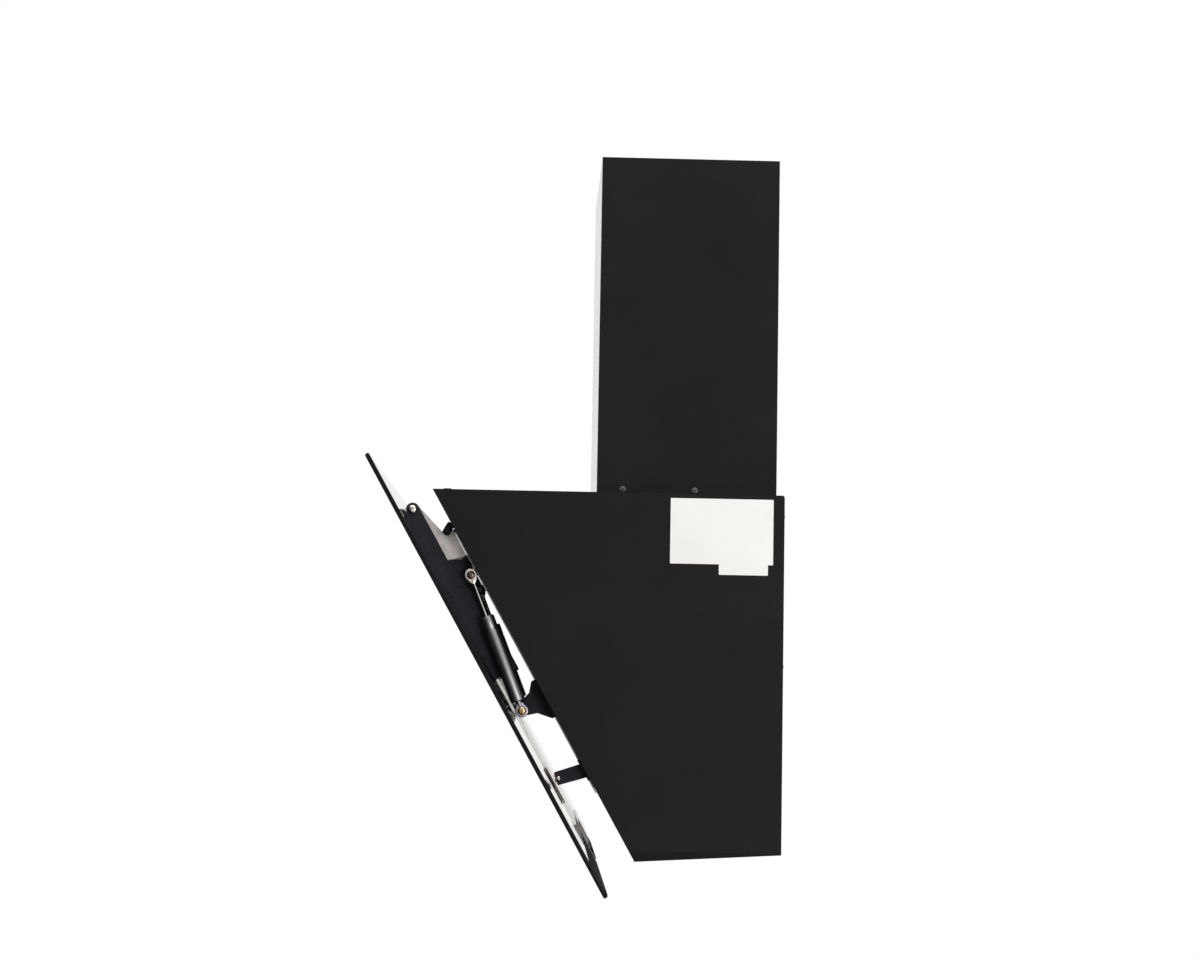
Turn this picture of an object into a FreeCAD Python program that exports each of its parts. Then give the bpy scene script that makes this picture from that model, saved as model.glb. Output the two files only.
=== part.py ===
import FreeCAD, Part
import math
import os
import re

import Sketcher

# Wall cooker hood with a slanted glass front panel, in millimetres.
# +X is the hood's right as seen from the front, +Y points into the wall, +Z is up.
# The origin is the centre of the four wall holes, on the wall face of the back panel.

# Length of the filter opening, from the length of the slanted front.
FILTER_LONG = (
    "=(body_height + tray_back + top_depth * tan(tray_lean)) / (1 + tan(front_lean) * tan(tray_lean))"
    " / cos(front_lean) - filter_top - filter_foot"
)

# Driving dimensions: name, value or formula, what it is.
SIZES = [
    # Body shell
    ("body_width", 400, "width over the side panels"),
    ("top_depth", 340, "depth of the body at its top"),
    ("body_height", 342, "height of the side panels"),
    ("front_lean", 29.6, "angle of the slanted front from upright, degrees"),
    ("skin", 1.2, "sheet thickness of the body"),
    ("flange_reach", 14, "width of the folded flanges of the side panels"),
    ("corner_round", 3, "radius of the side panels' corners"),
    ("seam_gap", 0.4, "gap at the seams between folded panels"),
    ("hang_drop", 150, "wall hole centre down from the body top"),
    ("wall_span_wide", 320, "wall holes, distance across"),
    ("wall_span_high", 200, "wall holes, distance up"),
    ("wall_hole", 4, "wall hole radius"),
    ("tray_back", 2, "depth of the bottom tray at the wall"),
    ("tray_lean", 3.3, "slope of the bottom tray, degrees"),
    ("lamp_span", 240, "distance between the two lamps"),
    ("lamp_can", 27, "lamp can radius"),
    ("lamp_can_high", 16, "lamp can height"),
    ("lamp_rim", 33, "lamp bezel radius"),
    ("lamp_rim_thick", 1.5, "lamp bezel thickness"),
    ("lamp_lens", 24, "lamp lens radius"),
    # Chimney
    ("chimney_width", 250, "width of the chimney cover"),
    ("chimney_depth", 180, "depth of the chimney cover"),
    ("chimney_height", 346, "height of the chimney cover"),
    ("chimney_skin", 1, "sheet thickness of the chimney"),
    ("chimney_lip", 12, "folded lip at the back of the chimney"),
    ("chimney_foot_gap", 0.5, "gap under the chimney cover"),
    ("slide_gap", 0.5, "gap round the inner chimney"),
    ("inner_bottom", 24, "underside of the inner chimney over the body top"),
    ("inner_height", 316, "height of the inner chimney"),
    ("strap_height", 22, "height of the inner chimney's wall strap"),
    ("strap_hole", 3, "hole radius of the wall strap"),
    ("angle_high", 18, "upright leg of the chimney base angles"),
    ("angle_wide", 16, "flat leg of the chimney base angles"),
    ("angle_thick", 1.5, "thickness of the chimney base angles"),
    ("angle_inset", 8, "chimney base angle ends, in from the chimney's front and back"),
    ("foot_screw_up", 9, "chimney screws over the body top"),
    ("foot_screw_front", 154, "front chimney screw, out from the wall"),
    ("foot_screw_back", 82, "back chimney screw, out from the wall"),
    ("screw_head", 3.8, "small screw head radius"),
    ("screw_head_high", 2.2, "small screw head height"),
    ("screw_shank", 1.9, "small screw shank radius"),
    # Duct outlet and non-return flaps
    ("duct_radius", 60, "outside radius of the duct spigot"),
    ("duct_wall", 1.5, "wall of the duct spigot"),
    ("duct_length", 48, "height of the duct spigot"),
    ("duct_back", 90, "duct axis out from the wall"),
    ("duct_flange", 74, "radius of the spigot's flange"),
    ("duct_flange_thick", 2, "thickness of the spigot's flange"),
    ("collar_wall", 4.5, "wall of the collar under the flaps"),
    ("flap_pin_up", 20, "flap pin over the body top"),
    ("flap_pin_size", 1.5, "flap pin radius"),
    ("flap_gap", 1, "gap between the flaps and the spigot"),
    ("flap_thick", 1.5, "flap thickness"),
    ("flap_split", 3.5, "flap edge out from the pin axis"),
    ("knuckle_size", 3, "flap knuckle radius"),
    ("knuckle_long", 14, "flap knuckle length"),
    ("knuckle_start", 10, "first knuckle out from the middle"),
    ("knuckle_pitch", 18, "second knuckle out from the first"),
    ("running_gap", 0.07, "radial clearance of running fits"),
    # Blower
    ("blower_back", 118, "impeller axis out from the wall"),
    ("blower_drop", 135, "impeller axis down from the body top"),
    ("scroll_radius", 100, "largest radius of the scroll"),
    ("scroll_step", 4, "half the radius lost in each quarter turn of the scroll"),
    ("scroll_half", 59, "half the inside width of the scroll"),
    ("scroll_wall", 1.5, "wall of the scroll"),
    ("tongue_place", 38, "tongue of the scroll, from the axis towards the wall"),
    ("scroll_top", 92, "top of the scroll over the axis"),
    ("inlet_radius", 50, "radius of the two air inlets"),
    ("inlet_collar", 5, "depth of the inlet collars"),
    ("wheel_radius", 66, "impeller radius"),
    ("wheel_half", 50, "half the impeller width"),
    ("blade_deep", 10, "radial depth of the blades"),
    ("blade_thick", 0.9, "blade thickness"),
    ("blade_inset", 0.6, "blade edges in from the edges of the rings"),
    ("ring_thick", 1.5, "impeller ring and disc thickness"),
    ("hub_radius", 10, "impeller hub radius"),
    ("hub_long", 16, "impeller hub length"),
    ("hub_side", 4, "hub end on the motor's side of the disc"),
    ("shaft_radius", 4, "motor shaft radius"),
    ("shaft_inside", 20, "length of shaft inside the motor"),
    ("motor_radius", 36, "motor radius"),
    ("motor_gap", 6, "motor face to impeller disc"),
    ("motor_step", 8, "depth of the motor's end caps"),
    ("motor_boss", 12, "bearing boss radius"),
    ("arm_wide", 12, "motor bracket arm width"),
    ("bracket_rim", 6, "motor bracket rim width"),
    ("foot_wide", 22, "blower foot, width on the back panel"),
    ("foot_high", 30, "blower foot height"),
    ("foot_thick", 2, "blower foot thickness"),
    ("foot_grip", 40, "blower foot, length on the scroll side"),
    ("box_wide", 90, "control box width"),
    ("box_deep", 90, "control box depth"),
    ("box_high", 32, "control box height"),
    ("box_inset", 18, "control box, in from the body's side"),
    ("box_place", "=body_width / 2 - box_inset - box_wide", "control box, inner side from the middle"),
    ("box_front", 300, "control box, front side out from the wall"),
    ("box_lid", 2, "control box lid thickness"),
    ("box_lid_rim", 1.5, "control box lid overhang"),
    ("capacitor_radius", 14, "capacitor radius"),
    ("capacitor_long", 52, "capacitor length"),
    ("gland_inset", 30, "cable gland, in from the chimney's side"),
    ("gland_place", "=chimney_width / 2 - gland_inset", "cable gland from the middle"),
    ("gland_back", 35, "cable gland out from the wall"),
    ("gland_radius", 9, "cable gland nut radius"),
    ("gland_nut", 6, "cable gland nut height"),
    ("gland_high", 18, "cable gland height"),
    ("gland_bore", 3.6, "cable gland bore radius"),
    ("inlet_hole", 6, "radius of the top panel's hole under the cable gland"),
    ("gland_mouth", 5, "outer radius of the cable gland's mouth"),
    ("gland_taper", 3.6, "height of the cable gland's taper"),
    # Grease filter
    ("filter_side", 65, "filter opening, in from the body's sides"),
    ("filter_width", "=body_width - 2 * filter_side", "width of the filter opening"),
    ("filter_top", 60, "filter opening down the front"),
    ("filter_foot", 74.9, "front below the filter opening"),
    ("filter_long", FILTER_LONG, "length of the filter opening"),
    ("filter_gap", 1, "gap round the filter"),
    ("filter_deep", 9, "depth of the filter frame"),
    ("filter_rail", 14, "width of the filter frame"),
    ("filter_lip", 4, "filter lip beyond the opening"),
    ("lip_thick", 1.2, "thickness of the filter lip"),
    ("lip_seat", 0.3, "filter lip out from the front panel"),
    ("mesh_thick", 2, "thickness of the filter mesh"),
    ("mesh_sunk", 5, "filter mesh in from the front panel"),
    ("mesh_bar", 8, "bar between two mesh slots"),
    ("mesh_rows", 7, "rows of mesh slots"),
    ("mesh_columns", 5, "columns of mesh slots"),
    ("hook_place", 80, "filter hooks from the middle"),
    ("hook_wide", 20, "filter hook width"),
    ("hook_long", 5, "length of the filter hooks"),
    ("hook_thick", 1.5, "filter hook thickness"),
    ("hook_gap", 0.8, "gap between the filter hooks and the front panel"),
    ("handle_wide", 44, "filter handle width"),
    ("handle_long", 12, "filter handle length down the front"),
    ("handle_out", 6, "filter handle height"),
    # Glass front panel
    ("glass_width", 895, "width of the glass"),
    ("glass_long", 427, "length of the glass down the slope"),
    ("glass_thick", 4, "glass thickness"),
    ("glass_out", 33, "back of the glass out from the front"),
    ("glass_rise", 30, "top of the glass above the body's front corner"),
    ("glass_corner", 5, "radius of the glass corners"),
    ("glass_edge", 1.2, "radius of the ground glass edges"),
    ("backing_side", 44, "backing plate, in from the body's sides"),
    ("backing_width", "=body_width - 2 * backing_side", "width of the backing plate"),
    ("backing_long", 350, "length of the backing plate"),
    ("backing_thick", 1.2, "thickness of the backing plate"),
    ("backing_start", 30, "backing plate below the glass's top edge"),
    ("touch_width", 220, "width of the touch control"),
    ("touch_long", 40, "length of the touch control"),
    ("touch_thick", 3.5, "thickness of the touch control"),
    ("touch_end", 4, "touch control from the glass's bottom edge"),
    # Hinges and gas struts, places down the front and out from it
    ("plate_inset", 26, "inner face of the bracket plates, in from the body's side"),
    ("plate_place", "=body_width / 2 - plate_inset", "inner face of the bracket plates from the middle"),
    ("plate_thick", 2.5, "thickness of the bracket plates"),
    ("hinge_down", 6.2, "hinge bolt down the front"),
    ("hinge_out", 26.5, "hinge bolt out from the front"),
    ("hinge_boss", 6.5, "radius of the bracket round the hinge bolt"),
    ("bolt_shank", 3, "hinge bolt radius"),
    ("bolt_head", 4.2, "hinge bolt head radius"),
    ("bolt_head_high", 2.8, "hinge bolt head height"),
    ("nut_radius", 5, "hinge bolt nut and washer radius"),
    ("nut_high", 3.5, "hinge bolt nut height"),
    ("washer_gap", 0.1, "play of the hinge washer"),
    ("arm_gap", 1.5, "hinge arm to pivot bracket"),
    ("arm_thick", 2.5, "hinge arm thickness"),
    ("arm_foot_start", 42, "hinge arm foot, top end down the front"),
    ("arm_foot_end", 71, "hinge arm foot, bottom end down the front"),
    ("arm_foot_wide", 20, "hinge arm foot width"),
    ("arm_waist_down", 41, "waist of the hinge arm down the front"),
    ("arm_waist_out", 11, "waist of the hinge arm out from the front"),
    ("arm_shoulder", 54, "shoulder of the hinge arm down the front"),
    ("foot_plate", 2, "thickness of the bracket feet"),
    ("strip_out", 20, "body-side edge of the pivot bracket's strip"),
    ("strip_end", 66, "lower end of the pivot bracket's strip"),
    ("brow_down", 71, "brow of the pivot bracket down the front"),
    ("brow_out", 9.5, "brow of the pivot bracket out from the front"),
    ("brow_low", 2.5, "pivot bracket's edge beside the upper strut eye out from the front"),
    ("pivot_end", 94, "lower end of the pivot bracket"),
    ("rail_seam", 0.5, "seam between pivot bracket and lower rail"),
    ("rail_end", 190, "lower end of the lower rail"),
    ("rail_out", 11, "body-side edge of the lower rail"),
    ("rail_shoulder", 14, "length of the lower rail's shoulder"),
    ("rail_shoulder_out", 16, "body-side edge of the rail at its shoulder"),
    ("rail_bevel", 9, "length of the bevel at the rail's shoulder"),
    ("bracket_round", 1.5, "radius of the corners of brackets and arms"),
    ("glass_foot_wide", 14, "width of the bracket feet on the glass"),
    ("glass_foot_thick", 1.5, "thickness of the bracket feet on the glass"),
    ("upper_eye_down", 90, "upper strut eye down the front"),
    ("upper_eye_out", 7, "upper strut eye out from the front"),
    ("lower_eye_down", 228.3, "lower strut eye down the front"),
    ("lower_eye_out", 26, "lower strut eye out from the front"),
    ("eye_boss", 6, "radius of the brackets round the strut eyes"),
    ("strut_inset", 15, "strut axis, in from the body's side"),
    ("strut_place", "=body_width / 2 - strut_inset", "strut axis from the middle"),
    ("eye_radius", 6.3, "strut eye radius"),
    ("eye_thick", 5, "strut eye thickness"),
    ("eye_screw", 2.5, "eye screw radius"),
    ("eye_head", 4, "eye screw head radius"),
    ("eye_head_high", 2.4, "eye screw head height"),
    ("eye_shoulder", 3.6, "eye screw shoulder radius"),
    ("eye_play", 0.3, "play beside the strut eyes"),
    ("tube_radius", 7.2, "strut tube radius"),
    ("tube_bore", 6.4, "strut tube bore radius"),
    ("tube_start", 9.5, "strut tube end from the lower eye"),
    ("tube_end", 96.8, "strut tube top from the lower eye"),
    ("tube_neck", 3, "radius of the neck between strut tube and eye"),
    ("tube_plug", 7, "length of the strut tube's closed end"),
    ("gland_long", 4, "length of the strut gland"),
    ("gland_hole", 3.5, "radius of the strut gland's hole"),
    ("groove_down", 14, "rolled groove below the tube top"),
    ("groove_deep", 0.5, "depth of the rolled groove"),
    ("groove_half", 1.2, "half width of the rolled groove"),
    ("rod_radius", 2, "strut rod radius"),
    ("rod_long", 89, "strut rod length from the upper eye"),
    ("piston_radius", 5, "strut piston radius"),
    ("piston_long", 5, "strut piston length"),
    ("neck_radius", 2.6, "radius of the rod's neck at its eye"),
    ("neck_long", 10, "rod neck from the upper eye"),
    ("post_start", 208.3, "strut bracket, top end down the front"),
    ("post_end", 249, "strut bracket, bottom end down the front"),
    ("post_foot_wide", 18, "strut bracket foot width"),
    ("stub_down", 42.8, "bumper tip down the front"),
    ("stub_out", 7, "bumper tip out from the front"),
    ("stub_radius", 4.2, "bumper tip radius"),
    ("stub_neck", 5.4, "bumper neck width"),
    ("stub_rise", 5, "bumper root above its tip"),
    ("stub_wide", 8, "bumper width"),
    ("catch_down", 307.6, "catch post root down the front"),
    ("catch_root", 14, "catch post root length"),
    ("catch_tip", 12.2, "catch post tip length"),
    ("catch_rise", 6.2, "catch post tip above its root"),
    ("catch_out", 28.6, "catch post tip out from the front"),
    ("catch_lean", 1.2, "lean of the catch post tip, half its rise"),
    ("catch_wide", 14, "catch post width"),
    ("catch_foot_long", 22, "catch post foot length"),
    ("magnet_radius", 3.2, "catch magnet radius"),
    ("magnet_out", 1.2, "catch magnet out of the post"),
    ("catch_screw_back", 2.6, "catch side screw back from the tip"),
    ("strike_start", 288, "striker strip, top end down the front"),
    ("strike_end", 325, "striker strip, bottom end down the front"),
    ("strike_wide", 24, "striker strip width"),
    ("strike_thick", 1.4, "striker strip thickness"),
    ("strike_lift", 0.8, "striker strip off the glass"),
    ("strike_block_start", 294.5, "striker block, top end down the front"),
    ("strike_block_end", 307.5, "striker block, bottom end down the front"),
    ("strike_block_out", 29.4, "striker block's body side out from the front"),
    ("strike_block_wide", 7, "striker block width beside the strip"),
    ("overrun", 5, "how far cutters run past a face"),
]

# Counts
BLADES = 32
MOTOR_ARMS = 3

# Shares of the blade's length, of the strut bracket's length and eye height, and of
# the length of the bracket feet.
BLADE_BOW_SHARE = 0.25
HORN_SHARES = ((0, 0), (0, 0.2), (0.24, 0.5), (0.34, 0.95), (0.64, 0.95), (0.72, 0.54), (1, 0.14), (1, 0))
FOOT_SCREW_SHARES = (0.25, 0.75)

# Edges and points nearer than this count as in line.
TINY = 0.001

doc = FreeCAD.newDocument("CookerHood")
sheet = doc.addObject("Spreadsheet::Sheet", "sizes")
for row, (alias, number, note) in enumerate(SIZES, start=1):
    sheet.set(f"A{row}", note)
    sheet.set(f"B{row}", str(number))
    sheet.setAlias(f"B{row}", alias)
doc.recompute()

ALIASES = {alias for alias, number, note in SIZES}
SIDES = (("right", 1), ("left", -1))
PARTS = []


# Formulas are written with the plain names of the sizes.
def formula(text):
    return re.sub(r"[a-z_]+", lambda word: "sizes." + word[0] if word[0] in ALIASES else word[0], text)


def value(text):
    result = sheet.evalExpression(formula(text))
    return float(getattr(result, "Value", result))


def bind(thing, prop, text):
    thing.setExpression(prop, formula(text))


# Shared formulas
HALF = "(body_width / 2)"
TRAY_DROP = (
    "((body_height + tray_back + top_depth * tan(tray_lean))"
    " / (1 + tan(front_lean) * tan(tray_lean)))"
)
TRAY_LONG = f"((top_depth - {TRAY_DROP} * tan(front_lean)) / cos(tray_lean))"
STRUT_LEAN = (
    "(front_lean - atan((lower_eye_out - upper_eye_out)"
    " / (lower_eye_down - upper_eye_down)) / 1 deg)"
)
CATCH_LEAN = "(atan(2 * catch_lean / catch_tip) / 1 deg)"
NECK_END = "((eye_radius + eye_screw) / 2)"
GLASS_BACK = "glass_out"
FILTER_END = "(filter_top + filter_long)"


# Places of the frames that sub-parts are drawn in: base y, base z and turn about X.
def front_point(down, out):
    y = f"-top_depth + ({down}) * sin(front_lean) - ({out}) * cos(front_lean)"
    z = f"hang_drop - ({down}) * cos(front_lean) - ({out}) * sin(front_lean)"
    return y, z


BODY_FRAME = ("0", "hang_drop", "0")
FRONT_FRAME = (*front_point("0", "0"), "front_lean")
TRAY_FRAME = ("0", "hang_drop - body_height - tray_back", "tray_lean")
BLOWER_FRAME = ("-blower_back", "hang_drop - blower_drop", "0")
DUCT_FRAME = ("-duct_back", "hang_drop", "0")
FLAP_FRAME = ("-duct_back", "hang_drop + flap_pin_up", "0")
HINGE_FRAME = (*front_point("hinge_down", "hinge_out"), "front_lean")
UPPER_EYE_FRAME = (*front_point("upper_eye_down", "upper_eye_out"), STRUT_LEAN)
LOWER_EYE_FRAME = (*front_point("lower_eye_down", "lower_eye_out"), STRUT_LEAN)


# A point on the slanted front's side view: down the front and out from it.
def face(down, out):
    return f"-({out})", f"-({down})"


def new_part(name, frame, x="0"):
    body = doc.addObject("PartDesign::Body", name)
    body.Label = name
    body.AllowCompound = True
    y, z, turn = frame
    body.Placement = FreeCAD.Placement(
        FreeCAD.Vector(value(x), value(y), value(z)),
        FreeCAD.Rotation(FreeCAD.Vector(1, 0, 0), value(turn)),
    )
    bind(body, "Placement.Base.x", x)
    bind(body, "Placement.Base.y", y)
    bind(body, "Placement.Base.z", z)
    if turn != "0":
        bind(body, "Placement.Rotation.Angle", turn)
    PARTS.append(body)
    return body


def new_sketch(body, name, role, offset="0"):
    plane = next(item for item in body.Origin.OriginFeatures if item.Role == role)
    sketch = body.newObject("Sketcher::SketchObject", name)
    sketch.AttachmentSupport = (plane, [""])
    sketch.MapMode = "FlatFace"
    bind(sketch, "AttachmentOffset.Base.z", offset)
    return sketch


def set_distance(sketch, kind, geometry, point, text):
    place = Sketcher.Constraint(kind, -1, 1, geometry, point, value(text))
    index = sketch.addConstraint(place)
    if text != "0":
        bind(sketch, f"Constraints[{index}]", text)


# A closed outline of straight edges through the corners, each tied to its two formulas.
def polygon(sketch, corners):
    points = [FreeCAD.Vector(value(u), value(v), 0) for u, v in corners]
    first = sketch.GeometryCount
    count = len(points)
    for index in range(count):
        sketch.addGeometry(Part.LineSegment(points[index], points[(index + 1) % count]), False)
    for index in range(count):
        following = first + (index + 1) % count
        sketch.addConstraint(Sketcher.Constraint("Coincident", first + index, 2, following, 1))
    for index, (u, v) in enumerate(corners):
        set_distance(sketch, "DistanceX", first + index, 1, u)
        set_distance(sketch, "DistanceY", first + index, 1, v)


def rectangle(sketch, low_u, high_u, low_v, high_v):
    polygon(sketch, [(low_u, low_v), (high_u, low_v), (high_u, high_v), (low_u, high_v)])


def circle(sketch, u, v, radius):
    centre = FreeCAD.Vector(value(u), value(v), 0)
    index = sketch.addGeometry(Part.Circle(centre, FreeCAD.Vector(0, 0, 1), value(radius)), False)
    set_distance(sketch, "DistanceX", index, 3, u)
    set_distance(sketch, "DistanceY", index, 3, v)
    limit = sketch.addConstraint(Sketcher.Constraint("Radius", index, value(radius)))
    bind(sketch, f"Constraints[{limit}]", radius)


def pad(body, sketch, length, backwards=False, middle=False):
    feature = body.newObject("PartDesign::Pad", sketch.Name + "Pad")
    feature.Profile = sketch
    bind(feature, "Length", length)
    feature.Reversed = backwards
    feature.Midplane = middle
    doc.recompute([feature])
    return feature


# A cut that runs both ways from its sketch, checked to take material away.
def cut(body, sketch, length):
    before = body.Tip.Shape.Volume
    feature = body.newObject("PartDesign::Pocket", sketch.Name + "Cut")
    feature.Profile = sketch
    bind(feature, "Length", length)
    feature.Midplane = True
    doc.recompute([feature])
    if feature.Shape.Volume >= before:
        raise RuntimeError(f"{sketch.Name} cuts nothing from {body.Label}")
    return feature


def turn(body, sketch, axis="V_Axis"):
    feature = body.newObject("PartDesign::Revolution", sketch.Name + "Turn")
    feature.Profile = sketch
    feature.ReferenceAxis = (sketch, [axis])
    feature.Angle = 360
    doc.recompute([feature])
    return feature


# Rounds the edges of the last feature whose middle passes the test.
def round_edges(body, radius, test):
    tip = body.Tip
    names = [f"Edge{i + 1}" for i, edge in enumerate(tip.Shape.Edges) if test(edge)]
    feature = body.newObject("PartDesign::Fillet", body.Name + "Round")
    feature.Base = (tip, names)
    bind(feature, "Radius", radius)
    doc.recompute([feature])
    return feature


def runs_along(edge, axis):
    first, last = edge.Vertexes[0].Point, edge.Vertexes[-1].Point
    along = last - first
    return along.Length > TINY and along.cross(axis).Length < TINY


# A plate that stands upright along the depth, at one side of the hood.
def side_plate(body, name, corners, inner, thickness, side, bosses=(), holes=(), rounded=False):
    sketch = new_sketch(body, name, "YZ_Plane", f"{side} * ({inner})")
    polygon(sketch, corners)
    pad(body, sketch, thickness, backwards=side < 0)
    if rounded:
        low, high = value("foot_plate"), value(f"{GLASS_BACK} - foot_plate")
        across = FreeCAD.Vector(1, 0, 0)
        round_edges(
            body,
            "bracket_round",
            lambda edge: runs_along(edge, across) and low < -edge.CenterOfMass.y < high,
        )
    for number, (u, v, radius) in enumerate(bosses):
        boss = new_sketch(body, f"{name}Boss{number}", "YZ_Plane", f"{side} * ({inner})")
        circle(boss, u, v, radius)
        pad(body, boss, thickness, backwards=side < 0)
    for number, (u, v, radius) in enumerate(holes):
        hole = new_sketch(body, f"{name}Hole{number}", "YZ_Plane", f"{side} * ({inner})")
        circle(hole, u, v, radius)
        cut(body, hole, f"2 * ({thickness}) + 2 * overrun")


# Left and right ends of a stretch that lies between two distances from the middle.
def stretch(side, inner, outer):
    if side > 0:
        return inner, outer
    return f"-({outer})", f"-({inner})"


# The side panel's outline, drawn in from its edges by one distance.
def shell_outline(inset):
    front_top = f"-top_depth + ({inset}) / cos(front_lean) + ({inset}) * tan(front_lean)"
    front_low = f"-top_depth + ({inset}) / cos(front_lean) + (body_height - ({inset})) * tan(front_lean)"
    return [
        (f"-({inset})", f"-({inset})"),
        (front_top, f"-({inset})"),
        (front_low, f"-body_height + ({inset})"),
        (f"-({inset})", f"-body_height + ({inset})"),
    ]


# Side panels: a folded pan, with its return flange set in behind the neighbouring panels.
def make_side_panel(label, side):
    body = new_part(f"side_panel_{label}", BODY_FRAME)
    sheet_face = f"{side} * ({HALF} - skin)"
    plate = new_sketch(body, f"SideSheet_{label}", "YZ_Plane", sheet_face)
    polygon(plate, shell_outline("0"))
    pad(body, plate, "skin", backwards=side < 0)
    corner = value("corner_round")
    round_edges(
        body,
        "corner_round",
        lambda edge: runs_along(edge, FreeCAD.Vector(1, 0, 0))
        and edge.CenterOfMass.z > -corner
        and edge.CenterOfMass.y > -corner,
    )
    flange = new_sketch(body, f"SideFlange_{label}", "YZ_Plane", sheet_face)
    polygon(flange, shell_outline("skin"))
    polygon(flange, shell_outline("2 * skin"))
    pad(body, flange, "flange_reach", backwards=side > 0)


# Top panel, with the duct opening and the hole of the cable gland.
def make_top_panel():
    body = new_part("top_panel", BODY_FRAME)
    sketch = new_sketch(body, "TopSheet", "XY_Plane", "-skin")
    edge = f"({HALF} - skin - seam_gap / 4)"
    rectangle(sketch, f"-{edge}", edge, "-top_depth + (skin + seam_gap) * tan(front_lean)", "-skin / 2")
    circle(sketch, "0", "-duct_back", "duct_radius - duct_wall")
    circle(sketch, "gland_place", "-gland_back", "inlet_hole")
    pad(body, sketch, "skin")


# Back panel, whose four round holes hold the hood on the wall.
def make_back_panel():
    body = new_part("back_panel", BODY_FRAME)
    sketch = new_sketch(body, "BackSheet", "XZ_Plane")
    edge = f"({HALF} - skin - seam_gap / 4)"
    rectangle(sketch, f"-{edge}", edge, "-body_height", "-skin")
    for across in ("-1", "1"):
        for up in ("-1", "1"):
            place = f"-hang_drop + {up} * wall_span_high / 2"
            circle(sketch, f"{across} * wall_span_wide / 2", place, "wall_hole")
    pad(body, sketch, "skin")


# Slanted front panel, a frame round the filter opening.
def make_front_panel():
    body = new_part("front_panel", FRONT_FRAME)
    sketch = new_sketch(body, "FrontSheet", "XZ_Plane", "-skin")
    edge = f"({HALF} - skin - seam_gap / 4)"
    top = "-skin * (1 + sin(front_lean)) / cos(front_lean) - seam_gap"
    rectangle(sketch, f"-{edge}", edge, "-(body_height - seam_gap) / cos(front_lean)", top)
    rectangle(sketch, "-filter_width / 2", "filter_width / 2", f"-{FILTER_END}", "-filter_top")
    pad(body, sketch, "skin")


# Bottom tray: a shallow wedge that closes the body from below and holds the lamps.
def make_bottom_tray():
    body = new_part("bottom_tray", TRAY_FRAME)
    rim_y = "-(top_depth - body_height * tan(front_lean))"
    front_y = f"({rim_y} * cos(tray_lean) + tray_back * sin(tray_lean))"
    front_z = f"(-({rim_y}) * sin(tray_lean) + tray_back * cos(tray_lean))"
    sketch = new_sketch(body, "TrayWedge", "YZ_Plane")
    back = ("tray_back * sin(tray_lean)", "tray_back * cos(tray_lean)")
    polygon(sketch, [("0", "0"), (f"-{TRAY_LONG}", "0"), (front_y, front_z), back])
    pad(body, sketch, "body_width", middle=True)
    slope = f"(({front_y} + {TRAY_LONG}) / {front_z})"
    wall = "skin / cos(front_lean)"
    hollow = new_sketch(body, "TrayHollow", "YZ_Plane")
    polygon(
        hollow,
        [
            ("-skin", "skin"),
            (f"-{TRAY_LONG} + {wall} + {slope} * skin", "skin"),
            (f"-{TRAY_LONG} + {wall} + {slope} * ({front_z} + overrun)", f"{front_z} + overrun"),
            ("-skin", f"{front_z} + overrun"),
        ],
    )
    cut(body, hollow, "body_width - 2 * skin")
    holes = new_sketch(body, "LampHoles", "XY_Plane")
    for across in ("-1", "1"):
        circle(holes, f"{across} * lamp_span / 2", f"-{TRAY_LONG} / 2", "lamp_can")
    cut(body, holes, "2 * skin + 2 * overrun")


# Two lamps: a can above the tray, a bezel under it and a lens in the bezel.
def make_lamps():
    middle = f"-{TRAY_LONG} / 2"
    shapes = [
        ("lamp_cans", "0", "lamp_can_high", "lamp_can", "lamp_lens"),
        ("lamp_bezels", "-lamp_rim_thick", "lamp_rim_thick", "lamp_rim", "lamp_lens"),
        ("lamp_lenses", "-lamp_rim_thick / 2", "2 * lamp_rim_thick", "lamp_lens", None),
    ]
    for name, low, high, outer, inner in shapes:
        body = new_part(name, TRAY_FRAME)
        sketch = new_sketch(body, name + "Plan", "XY_Plane", low)
        for across in ("-1", "1"):
            circle(sketch, f"{across} * lamp_span / 2", middle, outer)
            if inner:
                circle(sketch, f"{across} * lamp_span / 2", middle, inner)
        pad(body, sketch, high)
        if name == "lamp_cans":
            cap = new_sketch(body, "LampCaps", "XY_Plane", "lamp_can_high")
            for across in ("-1", "1"):
                circle(cap, f"{across} * lamp_span / 2", middle, outer)
            pad(body, cap, "skin")


# A chimney channel open at the back, with two lips folded in along the wall.
def channel_outline(half, front, back, thick):
    inner = f"({half} - {thick})"
    lip = f"({half} - chimney_lip)"
    right = [(half, f"-({front})"), (half, f"-({back})"), (lip, f"-({back})")]
    right += [(lip, f"-({back} + {thick})"), (inner, f"-({back} + {thick})")]
    right += [(inner, f"-({front} - {thick})")]
    left = [(f"-{u}", v) for u, v in reversed(right)]
    return right + left


def make_chimney_cover():
    body = new_part("chimney_cover", BODY_FRAME)
    sketch = new_sketch(body, "CoverPlan", "XY_Plane", "chimney_foot_gap")
    polygon(sketch, channel_outline("(chimney_width / 2)", "chimney_depth", "0", "chimney_skin"))
    pad(body, sketch, "chimney_height")
    holes = new_sketch(body, "CoverHoles", "YZ_Plane")
    for out in ("foot_screw_front", "foot_screw_back"):
        circle(holes, f"-{out}", "foot_screw_up", "screw_shank")
    cut(body, holes, "chimney_width + 2 * overrun")


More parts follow.
